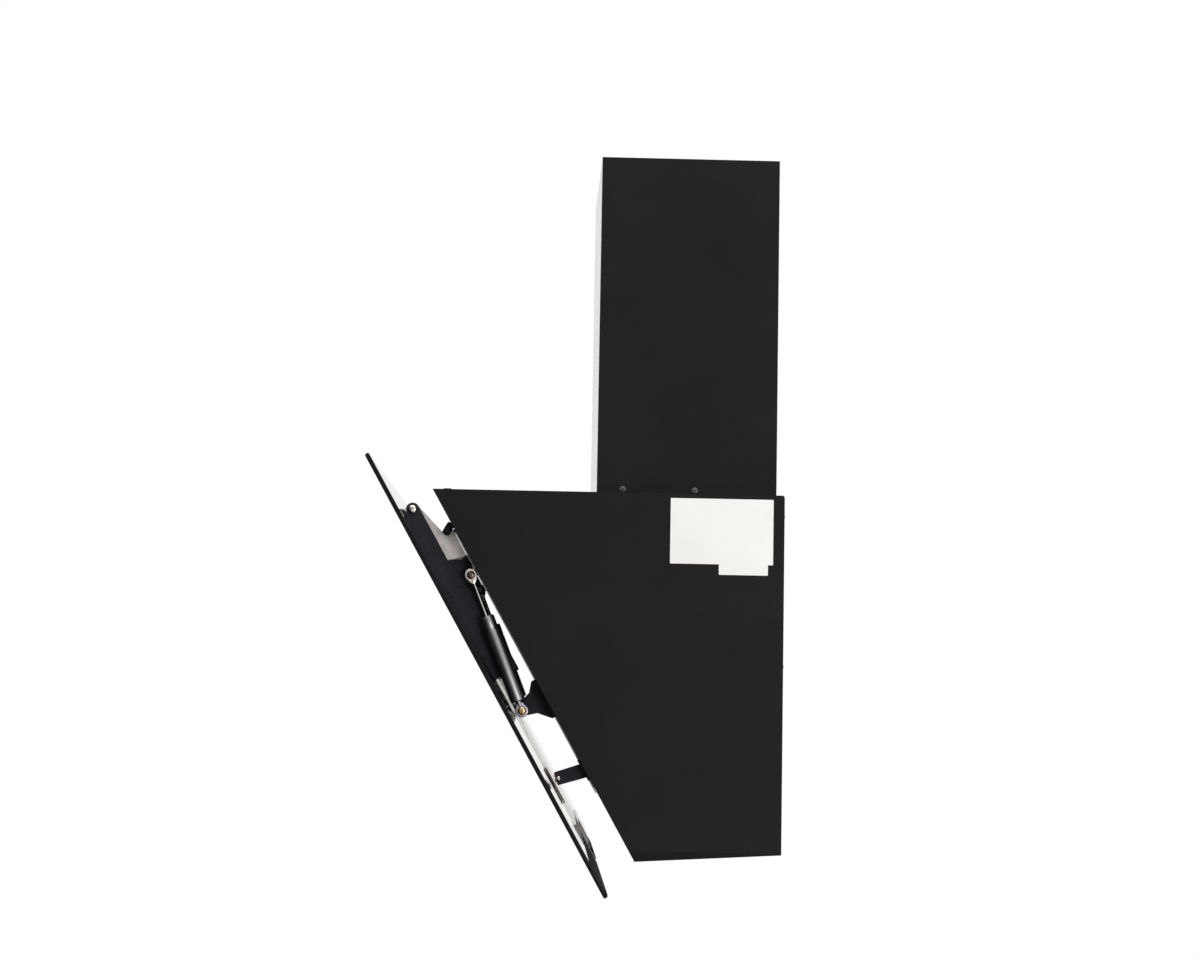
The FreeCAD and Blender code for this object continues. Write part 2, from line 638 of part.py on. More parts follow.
# Inner chimney, a slightly smaller channel that slides up out of the cover.
def make_inner_chimney():
    body = new_part("inner_chimney", BODY_FRAME)
    sketch = new_sketch(body, "InnerPlan", "XY_Plane", "inner_bottom")
    half = "(chimney_width / 2 - chimney_skin - slide_gap)"
    front = "(chimney_depth - chimney_skin - slide_gap)"
    polygon(sketch, channel_outline(half, front, "(chimney_skin + slide_gap)", "chimney_skin"))
    pad(body, sketch, "inner_height")


# Wall strap across the back of the inner chimney, with two screw holes.
def make_wall_strap():
    body = new_part("chimney_wall_strap", BODY_FRAME)
    lip = "(2 * chimney_skin + slide_gap)"
    reach = "(chimney_width / 2 - 2 * chimney_skin - slide_gap - seam_gap / 4)"
    sketch = new_sketch(body, "StrapFace", "XZ_Plane", lip)
    top = "(inner_bottom + inner_height)"
    rectangle(sketch, f"-{reach}", reach, f"{top} - strap_height", top)
    for across in ("-1", "1"):
        circle(sketch, f"{across} * chimney_width / 4", f"{top} - strap_height / 2", "strap_hole")
    pad(body, sketch, "skin")
    fold = new_sketch(body, "StrapFold", "XY_Plane", f"{top} - skin")
    rectangle(fold, f"-{reach}", reach, f"-{lip} - strap_height", f"-{lip}")
    pad(body, fold, "skin")


# Angles on the body top that the chimney cover is screwed to.
def make_chimney_angles():
    body = new_part("chimney_angles", BODY_FRAME)
    outer = "(chimney_width / 2 - chimney_skin)"
    corners = [
        (outer, "0"),
        (outer, "angle_high"),
        (f"{outer} - angle_thick", "angle_high"),
        (f"{outer} - angle_thick", "angle_thick"),
        (f"{outer} - angle_wide", "angle_thick"),
        (f"{outer} - angle_wide", "0"),
    ]
    sketch = new_sketch(body, "AngleSections", "XZ_Plane", "angle_inset")
    for label, side in SIDES:
        polygon(sketch, [(f"{side} * ({u})", v) for u, v in corners])
    pad(body, sketch, "chimney_depth - 2 * angle_inset")
    holes = new_sketch(body, "AngleHoles", "YZ_Plane")
    for out in ("foot_screw_front", "foot_screw_back"):
        circle(holes, f"-{out}", "foot_screw_up", "screw_shank")
    cut(body, holes, "chimney_width")


# Screws with a domed head, turned about the axis that points out of what they hold.
def screw_section(seat, depth, side=1):
    corners = [
        (f"{seat} - {depth}", "0"),
        (f"{seat} - {depth}", "screw_shank"),
        (seat, "screw_shank"),
        (seat, "screw_head"),
        (f"{seat} + screw_head_high / 2", "screw_head"),
        (f"{seat} + screw_head_high", "screw_head / 2"),
        (f"{seat} + screw_head_high", "0"),
    ]
    return [(f"{side} * ({u})", v) for u, v in corners]


def make_chimney_screws():
    body = new_part("chimney_screws", ("0", "hang_drop + foot_screw_up", "0"))
    for number, out in enumerate(("foot_screw_front", "foot_screw_back")):
        for label, side in SIDES:
            plan = new_sketch(body, f"ChimneyScrew{number}_{label}", "XZ_Plane", out)
            polygon(plan, screw_section("(chimney_width / 2)", "(chimney_skin + angle_thick)", side))
            turn(body, plan, "H_Axis")


# Duct spigot, a tube on a flange whose collar inside the tube stops the flaps.
def pin_hole(body, name):
    hole = new_sketch(body, name, "YZ_Plane")
    circle(hole, "0", "flap_pin_up", "flap_pin_size")
    cut(body, hole, "2 * duct_radius + 2 * overrun")


def make_duct_spigot():
    body = new_part("duct_spigot", DUCT_FRAME)
    bore = "(duct_radius - duct_wall)"
    sketch = new_sketch(body, "SpigotSection", "XZ_Plane")
    polygon(
        sketch,
        [
            (bore, "duct_flange_thick"),
            ("duct_radius", "duct_flange_thick"),
            ("duct_radius", "duct_length"),
            (bore, "duct_length"),
        ],
    )
    turn(body, sketch)
    pin_hole(body, "SpigotPinHole")


def make_duct_flange():
    body = new_part("duct_flange", DUCT_FRAME)
    collar = "(duct_radius - duct_wall - running_gap)"
    seat = "(duct_radius - duct_wall - collar_wall)"
    stop = "(flap_pin_up - flap_thick / 2 - running_gap)"
    sketch = new_sketch(body, "FlangeSection", "XZ_Plane")
    polygon(
        sketch,
        [
            (seat, "0"),
            ("duct_flange", "0"),
            ("duct_flange", "duct_flange_thick"),
            (collar, "duct_flange_thick"),
            (collar, stop),
            (seat, stop),
        ],
    )
    turn(body, sketch)
    pin_hole(body, "CollarPinHole")


def make_flap_pin():
    body = new_part("flap_pin", FLAP_FRAME)
    sketch = new_sketch(body, "FlapPinSection", "YZ_Plane")
    circle(sketch, "0", "0", "flap_pin_size")
    pad(body, sketch, "2 * duct_radius", middle=True)


# A half-round flap with two knuckles that turn on the pin.
def make_flap(label, side, first):
    body = new_part(f"flap_{label}", FLAP_FRAME)
    radius = "(duct_radius - duct_wall - flap_gap)"
    disc = new_sketch(body, f"FlapDisc_{label}", "XY_Plane", "-flap_thick / 2")
    circle(disc, "0", "0", radius)
    pad(body, disc, "flap_thick")
    half = new_sketch(body, f"FlapHalf_{label}", "XY_Plane")
    corners = [("-duct_radius", "-flap_split"), ("duct_radius", "-flap_split")]
    corners += [("duct_radius", "duct_radius"), ("-duct_radius", "duct_radius")]
    polygon(half, [(u, f"{side} * ({v})") for u, v in corners])
    cut(body, half, "flap_thick + 2 * overrun")
    tabs = new_sketch(body, f"FlapTabs_{label}", "XY_Plane", "-flap_thick / 2")
    for across in (-1, 1):
        low, high = stretch(across, first, f"{first} + knuckle_long")
        low_v, high_v = stretch(side, "-2 * flap_split", "0")
        rectangle(tabs, low, high, low_v, high_v)
    pad(body, tabs, "flap_thick")
    for number, across in enumerate((-1, 1)):
        knuckle = new_sketch(body, f"FlapKnuckle{number}_{label}", "YZ_Plane", f"{across} * ({first})")
        circle(knuckle, "0", "0", "knuckle_size")
        pad(body, knuckle, "knuckle_long", backwards=across < 0)
    bore = new_sketch(body, f"FlapBore_{label}", "YZ_Plane")
    circle(bore, "0", "0", "flap_pin_size + running_gap")
    cut(body, bore, "2 * duct_radius")


# The scroll's wall line: four arcs about the corners of a small square, each with a
# smaller radius, then straight up to the outlet on both sides.
def scroll_line(inset):
    step = value("scroll_step")
    radius = value("scroll_radius") - inset
    centres = [(step, step), (step, -step), (-step, -step), (-step, step)]
    arcs = []
    for quarter, (y, z) in enumerate(centres):
        size = radius - 2 * step * quarter
        start = -math.pi / 2 * (quarter + 1)
        end = start + math.pi / 2
        if quarter == len(centres) - 1:
            start = math.acos((value("tongue_place") + inset - y) / size) - 2 * math.pi
        ring = Part.Circle(FreeCAD.Vector(y, z, 0), FreeCAD.Vector(0, 0, 1), size)
        arcs.append(Part.ArcOfCircle(ring, start, end))
    return arcs


def scroll_ends(arcs):
    return arcs[0].EndPoint, arcs[-1].StartPoint


def close_scroll(sketch, points):
    for first, last in zip(points, points[1:]):
        sketch.addGeometry(Part.LineSegment(first, last), False)


# Scroll wrap, the curved sheet round the impeller.
def make_scroll_wrap():
    body = new_part("scroll_wrap", BLOWER_FRAME)
    outer = scroll_line(0)
    inner = scroll_line(value("scroll_wall"))
    sketch = new_sketch(body, "WrapSection", "YZ_Plane")
    for arc in outer + inner:
        sketch.addGeometry(arc, False)
    top = value("scroll_top")
    outer_start, outer_end = scroll_ends(outer)
    inner_start, inner_end = scroll_ends(inner)
    ends = ((outer_start, inner_start), (outer_end, inner_end))
    for outside, inside in ends:
        raised = [FreeCAD.Vector(point.x, top, 0) for point in (outside, inside)]
        close_scroll(sketch, [outside, *raised, inside])
    pad(body, sketch, "2 * scroll_half", middle=True)


# Scroll side plates, each with an inlet collar that reaches into the impeller.
def make_scroll_side(label, side):
    body = new_part(f"scroll_side_{label}", BLOWER_FRAME)
    outer = scroll_line(0)
    start, end = scroll_ends(outer)
    top = value("scroll_top")
    sketch = new_sketch(body, f"SideOutline_{label}", "YZ_Plane", f"{side} * scroll_half")
    for arc in outer:
        sketch.addGeometry(arc, False)
    close_scroll(sketch, [start, FreeCAD.Vector(start.x, top, 0), FreeCAD.Vector(end.x, top, 0), end])
    circle(sketch, "0", "0", "inlet_radius")
    pad(body, sketch, "scroll_wall", backwards=side < 0)
    collar = new_sketch(body, f"InletCollar_{label}", "YZ_Plane", f"{side} * (scroll_half + scroll_wall)")
    circle(collar, "0", "0", "inlet_radius + scroll_wall")
    circle(collar, "0", "0", "inlet_radius")
    pad(body, collar, "inlet_collar + scroll_wall", backwards=side > 0)


# The eight points at which the outlet's rectangle and the duct's circle meet their loft.
def rounded_frame(inset):
    half = value("scroll_half + scroll_wall") - inset
    low = value("tongue_place") + inset
    high = value("scroll_radius + scroll_step") - inset
    corner = value("corner_round") * 2 - inset
    turns = [(half, low, -1), (half, high, 0), (-half, high, 1), (-half, low, 2)]
    edges = []
    points = []
    for x, y, quarter in turns:
        inward_x = math.copysign(corner, x)
        inward_y = math.copysign(corner, y - (low + high) / 2)
        centre = FreeCAD.Vector(x - inward_x, y - inward_y, 0)
        arc = Part.ArcOfCircle(
            Part.Circle(centre, FreeCAD.Vector(0, 0, 1), corner),
            quarter * math.pi / 2,
            (quarter + 1) * math.pi / 2,
        )
        points.append((arc.StartPoint, arc.EndPoint))
        edges.append(arc)
    sides = [Part.LineSegment(points[i][1], points[(i + 1) % 4][0]) for i in range(4)]
    return [shape for pair in zip(edges, sides) for shape in pair]


# The duct's circle as eight arcs, a short one for each corner and a long one for each side.
def split_circle(inset):
    centre = FreeCAD.Vector(0, value("blower_back - duct_back"), 0)
    ring = Part.Circle(centre, FreeCAD.Vector(0, 0, 1), value("duct_radius") - inset)
    corner = math.pi / 12
    arcs = []
    for quarter in range(-1, 3):
        middle = (quarter + 0.5) * math.pi / 2
        arcs.append(Part.ArcOfCircle(ring, middle - corner, middle + corner))
        arcs.append(Part.ArcOfCircle(ring, middle + corner, middle + math.pi / 2 - corner))
    return arcs


# Outlet transition, from the scroll's rectangular mouth to the round duct.
def make_outlet_transition():
    body = new_part("outlet_transition", BLOWER_FRAME)
    inset = value("scroll_wall")
    sections = []
    for name, offset in (("Outer", 0), ("Inner", inset)):
        mouth = new_sketch(body, f"Mouth{name}", "XY_Plane", "scroll_top")
        for shape in rounded_frame(offset):
            mouth.addGeometry(shape, False)
        ring = new_sketch(body, f"Ring{name}", "XY_Plane", "blower_drop - skin")
        for shape in split_circle(offset):
            ring.addGeometry(shape, False)
        sections.append((mouth, ring))
    for kind, (mouth, ring) in zip(("AdditiveLoft", "SubtractiveLoft"), sections):
        loft = body.newObject(f"PartDesign::{kind}", f"Transition{kind}")
        loft.Profile = mouth
        loft.Sections = [ring]
        loft.Ruled = True
        doc.recompute([loft])


# Feet that hold the scroll's sides to the back panel.
def make_blower_feet():
    body = new_part("blower_feet", BLOWER_FRAME)
    wall = "(blower_back - skin)"
    outside = "(scroll_half + scroll_wall)"
    reach = "(scroll_radius + scroll_step - foot_grip)"
    corners = [(reach, "-foot_high / 2"), (wall, "-foot_high / 2")]
    corners += [(wall, "foot_high / 2"), (reach, "foot_high / 2")]
    for label, side in SIDES:
        side_plate(body, f"FootSide_{label}", corners, outside, "foot_thick", side)
        base = new_sketch(body, f"FootBase_{label}", "XZ_Plane", f"-{wall}")
        low, high = stretch(side, outside, f"{outside} + foot_wide")
        rectangle(base, low, high, "-foot_high / 2", "foot_high / 2")
        pad(body, base, "foot_thick")


# Motor, held in the left inlet and reaching into the impeller.
def make_motor():
    body = new_part("motor", BLOWER_FRAME)
    back = "-(scroll_half + scroll_wall)"
    front = "-motor_gap"
    edge = "(motor_radius - motor_step / 2)"
    sketch = new_sketch(body, "MotorSection", "XZ_Plane")
    polygon(
        sketch,
        [
            (back, "0"),
            (back, edge),
            (f"{back} + motor_step / 2", "motor_radius"),
            (f"{front} - motor_step", "motor_radius"),
            (f"{front} - motor_step / 2", edge),
            (f"{front} - motor_step / 2", "motor_boss"),
            (front, "motor_boss"),
            (front, "shaft_radius + running_gap"),
            (f"{front} - shaft_inside - running_gap", "shaft_radius + running_gap"),
            (f"{front} - shaft_inside - running_gap", "0"),
        ],
    )
    turn(body, sketch, "H_Axis")


# Motor bracket: a rim on the scroll side, three arms and a plate behind the motor.
def make_motor_bracket():
    body = new_part("motor_bracket", BLOWER_FRAME)
    start = "-(scroll_half + scroll_wall)"
    plate = new_sketch(body, "BracketPlate", "YZ_Plane", start)
    circle(plate, "0", "0", "motor_radius - motor_step / 2")
    pad(body, plate, "foot_thick", backwards=True)
    arm = new_sketch(body, "BracketArm", "YZ_Plane", start)
    rectangle(arm, "-arm_wide / 2", "arm_wide / 2", "motor_boss", "inlet_radius + bracket_rim / 2")
    first = pad(body, arm, "foot_thick", backwards=True)
    arms = body.newObject("PartDesign::PolarPattern", "BracketArms")
    arms.Originals = [first]
    arms.Axis = (arm, ["N_Axis"])
    arms.Angle = 360
    arms.Occurrences = MOTOR_ARMS
    body.Tip = arms
    doc.recompute([arms])
    rim = new_sketch(body, "BracketRim", "YZ_Plane", start)
    circle(rim, "0", "0", "inlet_radius + bracket_rim")
    circle(rim, "0", "0", "inlet_radius")
    pad(body, rim, "foot_thick", backwards=True)


# Impeller: forward-curved blades between two rings, driven by the middle disc.
def make_impeller():
    body = new_part("impeller", BLOWER_FRAME)
    disc = new_sketch(body, "WheelDisc", "YZ_Plane")
    circle(disc, "0", "0", "wheel_radius")
    circle(disc, "0", "0", "shaft_radius")
    pad(body, disc, "ring_thick", middle=True)
    hub = new_sketch(body, "WheelHub", "YZ_Plane", "-hub_side")
    circle(hub, "0", "0", "hub_radius")
    circle(hub, "0", "0", "shaft_radius")
    pad(body, hub, "hub_long")
    for label, side in SIDES:
        ring = new_sketch(body, f"WheelRing_{label}", "YZ_Plane", f"{side} * wheel_half")
        circle(ring, "0", "0", "wheel_radius")
        circle(ring, "0", "0", "wheel_radius - blade_deep")
        pad(body, ring, "ring_thick", backwards=side > 0)
    outer = value("wheel_radius - blade_inset")
    inner = value("wheel_radius - blade_deep + blade_inset")
    thick = value("blade_thick")
    pitch = 2 * math.pi / BLADES
    blade = new_sketch(body, "Blade", "YZ_Plane")
    tip = FreeCAD.Vector(math.cos(pitch / 2) * outer, math.sin(pitch / 2) * outer, 0)
    root = FreeCAD.Vector(inner, 0, 0)
    along = tip - root
    across = FreeCAD.Vector(along.y, -along.x, 0).normalize()
    bow = root + along / 2 + across * (along.Length * BLADE_BOW_SHARE)
    back = across * thick
    blade.addGeometry(Part.Arc(root, bow, tip), False)
    blade.addGeometry(Part.LineSegment(tip, tip + back), False)
    blade.addGeometry(Part.Arc(root + back, bow + back, tip + back), False)
    blade.addGeometry(Part.LineSegment(root + back, root), False)
    first = pad(body, blade, "2 * wheel_half - ring_thick", middle=True)
    blades = body.newObject("PartDesign::PolarPattern", "Blades")
    blades.Originals = [first]
    blades.Axis = (blade, ["N_Axis"])
    blades.Angle = 360
    blades.Occurrences = BLADES
    body.Tip = blades
    doc.recompute([blades])


def make_motor_shaft():
    body = new_part("motor_shaft", BLOWER_FRAME)
    sketch = new_sketch(body, "ShaftSection", "YZ_Plane", "-motor_gap - shaft_inside")
    circle(sketch, "0", "0", "shaft_radius")
    pad(body, sketch, "motor_gap + shaft_inside - hub_side + hub_long")


# Control box under the top panel, with its lid and the motor's capacitor.
def make_control_box():
    box = new_part("control_box", BODY_FRAME)
    sketch = new_sketch(box, "BoxPlan", "XY_Plane", "-skin")
    back = "(box_front - box_deep)"
    rectangle(sketch, "box_place", "box_place + box_wide", "-box_front", f"-{back}")
    pad(box, sketch, "box_high", backwards=True)
    lid = new_part("control_box_lid", BODY_FRAME)
    plan = new_sketch(lid, "LidPlan", "XY_Plane", "-skin - box_high")
    rim = "box_lid_rim"
    low, high = f"box_place - {rim}", f"box_place + box_wide + {rim}"
    rectangle(plan, low, high, f"-box_front - {rim}", f"-{back} + {rim}")
    pad(lid, plan, "box_lid", backwards=True)
    capacitor = new_part("capacitor", BODY_FRAME)
    end = new_sketch(capacitor, "CapacitorEnd", "XZ_Plane", back)
    circle(end, "box_place + box_wide / 2", "-skin - box_high / 2", "capacitor_radius")
    pad(capacitor, end, "capacitor_long", backwards=True)


def make_cable_gland():
    body = new_part("cable_gland", ("-gland_back", "hang_drop", "0"), "gland_place")
    sketch = new_sketch(body, "GlandSection", "XZ_Plane")
    polygon(
        sketch,
        [
            ("gland_bore", "0"),
            ("gland_radius", "0"),
            ("gland_radius", "gland_nut"),
            ("gland_radius - gland_bore / 2", "gland_nut"),
            ("gland_radius - gland_bore / 2", "gland_high - gland_taper"),
            ("gland_mouth", "gland_high"),
            ("gland_bore", "gland_high"),
        ],
    )
    turn(body, sketch)


# Grease filter: a frame with a lip on the front panel, a slotted mesh and a handle.
def make_filter():
    frame = new_part("filter_frame", FRONT_FRAME)
    inner = "(filter_width / 2 - filter_gap - filter_rail)"
    inner_top = "(filter_top + filter_gap + filter_rail)"
    inner_end = f"({FILTER_END} - filter_gap - filter_rail)"
    outer = "(filter_width / 2 - filter_gap)"
    ring = new_sketch(frame, "FilterRing", "XZ_Plane", "-filter_deep")
    rectangle(ring, f"-{outer}", outer, f"-{FILTER_END} + filter_gap", "-filter_top - filter_gap")
    rectangle(ring, f"-{inner}", inner, f"-{inner_end}", f"-{inner_top}")
    pad(frame, ring, "filter_deep + lip_seat")
    lip = new_sketch(frame, "FilterLip", "XZ_Plane", "lip_seat")
    edge = "(filter_width / 2 + filter_lip)"
    rectangle(lip, f"-{edge}", edge, f"-{FILTER_END} - filter_lip", "-filter_top + filter_lip")
    rectangle(lip, f"-{inner}", inner, f"-{inner_end}", f"-{inner_top}")
    pad(frame, lip, "lip_thick")
    hooks = new_sketch(frame, "FilterHooks", "XZ_Plane", "-skin - hook_gap - hook_thick")
    for side in (-1, 1):
        low, high = stretch(side, "hook_place - hook_wide / 2", "hook_place + hook_wide / 2")
        end = f"-{FILTER_END} + filter_gap"
        rectangle(hooks, low, high, f"{end} - hook_long", f"{end} + hook_thick")
    pad(frame, hooks, "hook_thick")
    mesh = new_part("filter_mesh", FRONT_FRAME)
    plate = new_sketch(mesh, "MeshPlate", "XZ_Plane", "-mesh_sunk")
    rectangle(plate, f"-{inner}", inner, f"-{inner_end}", f"-{inner_top}")
    pad(mesh, plate, "mesh_thick")
    slot_wide = f"((2 * {inner} - mesh_bar) / mesh_columns - mesh_bar)"
    slot_high = f"(({inner_end} - {inner_top} - mesh_bar) / mesh_rows - mesh_bar)"
    slot = new_sketch(mesh, "MeshSlot", "XZ_Plane", "-mesh_sunk")
    left, low = f"-{inner} + mesh_bar", f"-{inner_end} + mesh_bar"
    rectangle(slot, left, f"{left} + {slot_wide}", low, f"{low} + {slot_high}")
    first = cut(mesh, slot, "2 * mesh_thick + 2 * overrun")
    grid = mesh.newObject("PartDesign::MultiTransform", "MeshSlots")
    grid.Originals = [first]
    mesh.Tip = grid
    lines = []
    for axis, count, step in (("H_Axis", "mesh_columns", slot_wide), ("V_Axis", "mesh_rows", slot_high)):
        line = mesh.newObject("PartDesign::LinearPattern", f"MeshLine{count}")
        line.Direction = (slot, [axis])
        bind(line, "Length", f"({count} - 1) * ({step} + mesh_bar)")
        bind(line, "Occurrences", count)
        lines.append(line)
    grid.Transformations = lines
    doc.recompute([grid])
    handle = new_part("filter_handle", FRONT_FRAME)
    top = "(filter_top + filter_gap)"
    grip = new_sketch(handle, "HandleBlock", "XZ_Plane", "lip_seat + lip_thick")
    rectangle(grip, "-handle_wide / 2", "handle_wide / 2", f"-{top} - handle_long", f"-{top}")
    pad(handle, grip, "handle_out")
    scoop = new_sketch(handle, "HandleScoop", "YZ_Plane")
    circle(scoop, *face(f"{top} + handle_long", "lip_seat + lip_thick + handle_out / 2"), "handle_out / 3")
    cut(handle, scoop, "handle_wide - handle_out")


# Glass front panel, cut square, with rounded corners and ground edges.
def make_glass():
    body = new_part("glass_panel", FRONT_FRAME)
    sketch = new_sketch(body, "GlassFace", "XZ_Plane", GLASS_BACK)
    rectangle(sketch, "-glass_width / 2", "glass_width / 2", "glass_rise - glass_long", "glass_rise")
    pad(body, sketch, "glass_thick")
    round_edges(body, "glass_corner", lambda edge: runs_along(edge, FreeCAD.Vector(0, 1, 0)))
    thick = value("glass_thick")
    round_edges(body, "glass_edge", lambda edge: abs(edge.BoundBox.YLength) < thick / 2)


def make_backing_plate():
    body = new_part("backing_plate", FRONT_FRAME)
    sketch = new_sketch(body, "BackingFace", "XZ_Plane", f"{GLASS_BACK} - backing_thick")
    top = "(glass_rise - backing_start)"
    rectangle(sketch, "-backing_width / 2", "backing_width / 2", f"{top} - backing_long", top)
    pad(body, sketch, "backing_thick")


def make_touch_control():
    body = new_part("touch_control", FRONT_FRAME)
    sketch = new_sketch(body, "TouchFace", "XZ_Plane", f"{GLASS_BACK} - touch_thick")
    end = "(glass_rise - glass_long + touch_end)"
    rectangle(sketch, "-touch_width / 2", "touch_width / 2", end, f"{end} + touch_long")
    pad(body, sketch, "touch_thick")
    round_edges(body, "corner_round", lambda edge: runs_along(edge, FreeCAD.Vector(0, 1, 0)))


# A foot glued to the glass, turned inwards from a bracket plate.
def glass_foot(body, name, start, end, side):
    foot = new_sketch(body, name, "XZ_Plane", f"{GLASS_BACK} - glass_foot_thick")
    low, high = stretch(side, "plate_place - glass_foot_wide", "plate_place + plate_thick")
    rectangle(foot, low, high, f"-({end})", f"-({start})")
    pad(body, foot, "glass_foot_thick")


# Pivot bracket on the glass: a strip from the hinge bolt that widens to the upper strut eye.
def make_pivot_bracket(label, side):
    body = new_part(f"pivot_bracket_{label}", FRONT_FRAME)
    corners = [
        face("hinge_down", GLASS_BACK),
        face("pivot_end", GLASS_BACK),
        face("pivot_end", "rail_shoulder_out"),
        face("upper_eye_down + eye_boss", "upper_eye_out"),
        face("upper_eye_down", "brow_low"),
        face("brow_down + brow_low", "brow_low"),
        face("brow_down", "brow_out"),
        face("strip_end", "strip_out"),
        face("hinge_down", "strip_out"),
    ]
    hinge = face("hinge_down", "hinge_out")
    eye = face("upper_eye_down", "upper_eye_out")
    side_plate(
        body,
        f"PivotPlate_{label}",
        corners,
        "plate_place",
        "plate_thick",
        side,
        bosses=[(*hinge, "hinge_boss"), (*eye, "eye_boss")],
        holes=[(*hinge, "bolt_shank + running_gap"), (*eye, "eye_screw")],
    )
    glass_foot(body, f"PivotFoot_{label}", "hinge_down + 2 * hinge_boss", "pivot_end", side)


# Lower rail on the glass, below the pivot bracket.
def make_lower_rail(label, side):
    body = new_part(f"lower_rail_{label}", FRONT_FRAME)
    start = "(pivot_end + rail_seam)"
    corners = [
        face(start, GLASS_BACK),
        face("rail_end", GLASS_BACK),
        face("rail_end", "rail_out"),
        face(f"{start} + rail_shoulder", "rail_out"),
        face(f"{start} + rail_shoulder - rail_bevel", "rail_shoulder_out"),
        face(start, "rail_shoulder_out"),
    ]
    side_plate(body, f"RailPlate_{label}", corners, "plate_place", "plate_thick", side, rounded=True)
    glass_foot(body, f"RailFoot_{label}", start, "rail_end", side)


# A foot screwed to the front panel, turned inwards from a bracket plate.
def front_foot(body, name, start, end, inner, outer, side):
    foot = new_sketch(body, name, "XZ_Plane", "0")
    low, high = stretch(side, inner, outer)
    rectangle(foot, low, high, f"-({end})", f"-({start})")
    pad(body, foot, "foot_plate")


ARM_PLACE = "(plate_place - arm_gap - arm_thick)"


# Hinge arm on the body, a bent plate that reaches up to the hinge bolt.
def make_hinge_arm(label, side):
    body = new_part(f"hinge_arm_{label}", FRONT_FRAME)
    corners = [
        face("hinge_down", "hinge_out - hinge_boss"),
        face("arm_waist_down", "arm_waist_out"),
        face("arm_foot_start", "foot_plate"),
        face("arm_foot_start", "0"),
        face("arm_foot_end", "0"),
        face("strip_end", "strip_out"),
        face("arm_shoulder", "hinge_out"),
        face("hinge_down", "hinge_out + hinge_boss - glass_foot_thick"),
    ]
    hinge = face("hinge_down", "hinge_out")
    side_plate(
        body,
        f"ArmPlate_{label}",
        corners,
        ARM_PLACE,
        "arm_thick",
        side,
        bosses=[(*hinge, "hinge_boss - glass_foot_thick")],
        holes=[(*hinge, "bolt_shank")],
        rounded=True,
    )
    inner = f"{ARM_PLACE} - arm_foot_wide"
    outer = f"{ARM_PLACE} + arm_thick"
    front_foot(body, f"ArmFoot_{label}", "arm_foot_start", "arm_foot_end", inner, outer, side)


# Strut bracket on the body, a curved horn that carries the lower strut eye.
def make_strut_bracket(label, side):
    body = new_part(f"strut_bracket_{label}", FRONT_FRAME)
    corners = [
        face(f"post_start + {along} * (post_end - post_start)", f"{out} * lower_eye_out")
        for along, out in HORN_SHARES
    ]
    eye = face("lower_eye_down", "lower_eye_out")
    side_plate(
        body,
        f"PostPlate_{label}",
        corners,
        "plate_place",
        "plate_thick",
        side,
        bosses=[(*eye, "eye_boss")],
        holes=[(*eye, "eye_screw")],
        rounded=True,
    )
    inner = "plate_place - post_foot_wide"
    front_foot(body, f"PostFoot_{label}", "post_start", "post_end", inner, "plate_place + plate_thick", side)


# Hinge bolts: nut, shank through arm and bracket, a washer between them, domed head.
def make_hinge_bolts():
    body = new_part("hinge_bolts", HINGE_FRAME)
    seat = "(plate_place + plate_thick + washer_gap)"
    arm_face = "(plate_place - arm_gap)"
    corners = [
        (f"{ARM_PLACE} - nut_high", "0"),
        (f"{ARM_PLACE} - nut_high", "nut_radius"),
        (ARM_PLACE, "nut_radius"),
        (ARM_PLACE, "bolt_shank"),
        (arm_face, "bolt_shank"),
        (arm_face, "nut_radius"),
        ("plate_place - washer_gap", "nut_radius"),
        ("plate_place - washer_gap", "bolt_shank"),
        (seat, "bolt_shank"),
        (seat, "bolt_head"),
        (f"{seat} + bolt_head_high / 2", "bolt_head"),
        (f"{seat} + bolt_head_high", "bolt_head / 2"),
        (f"{seat} + bolt_head_high", "0"),
    ]
    for label, side in SIDES:
        sketch = new_sketch(body, f"HingeBolt_{label}", "XZ_Plane")
        polygon(sketch, [(f"{side} * ({u})", v) for u, v in corners])
        turn(body, sketch, "H_Axis")


# Eye screws: a shoulder sets the strut eye off its bracket, and the head keeps it on.
def make_eye_screws(name, frame):
    body = new_part(name, frame)
    shoulder = "(plate_place + plate_thick)"
    eye_in = "(strut_place - eye_thick / 2 - eye_play)"
    eye_out = "(strut_place + eye_thick / 2 + eye_play)"
    corners = [
        ("plate_place - washer_gap", "0"),
        ("plate_place - washer_gap", "eye_screw"),
        (shoulder, "eye_screw"),
        (shoulder, "eye_shoulder"),
        (eye_in, "eye_shoulder"),
        (eye_in, "eye_screw"),
        (eye_out, "eye_screw"),
        (eye_out, "eye_head"),
        (f"{eye_out} + eye_head_high / 2", "eye_head"),
        (f"{eye_out} + eye_head_high", "eye_head / 2"),
        (f"{eye_out} + eye_head_high", "0"),
    ]
    for label, side in SIDES:
        sketch = new_sketch(body, f"{name}_{label}", "XZ_Plane")
        polygon(sketch, [(f"{side} * ({u})", v) for u, v in corners])
        turn(body, sketch, "H_Axis")


def strut_eye(body, name):
    eye = new_sketch(body, name, "YZ_Plane")
    circle(eye, "0", "0", "eye_radius")
    pad(body, eye, "eye_thick", middle=True)


def eye_hole(body, name):
    hole = new_sketch(body, name, "YZ_Plane")
    circle(hole, "0", "0", "eye_screw + running_gap")
    cut(body, hole, "eye_thick + 2 * overrun")


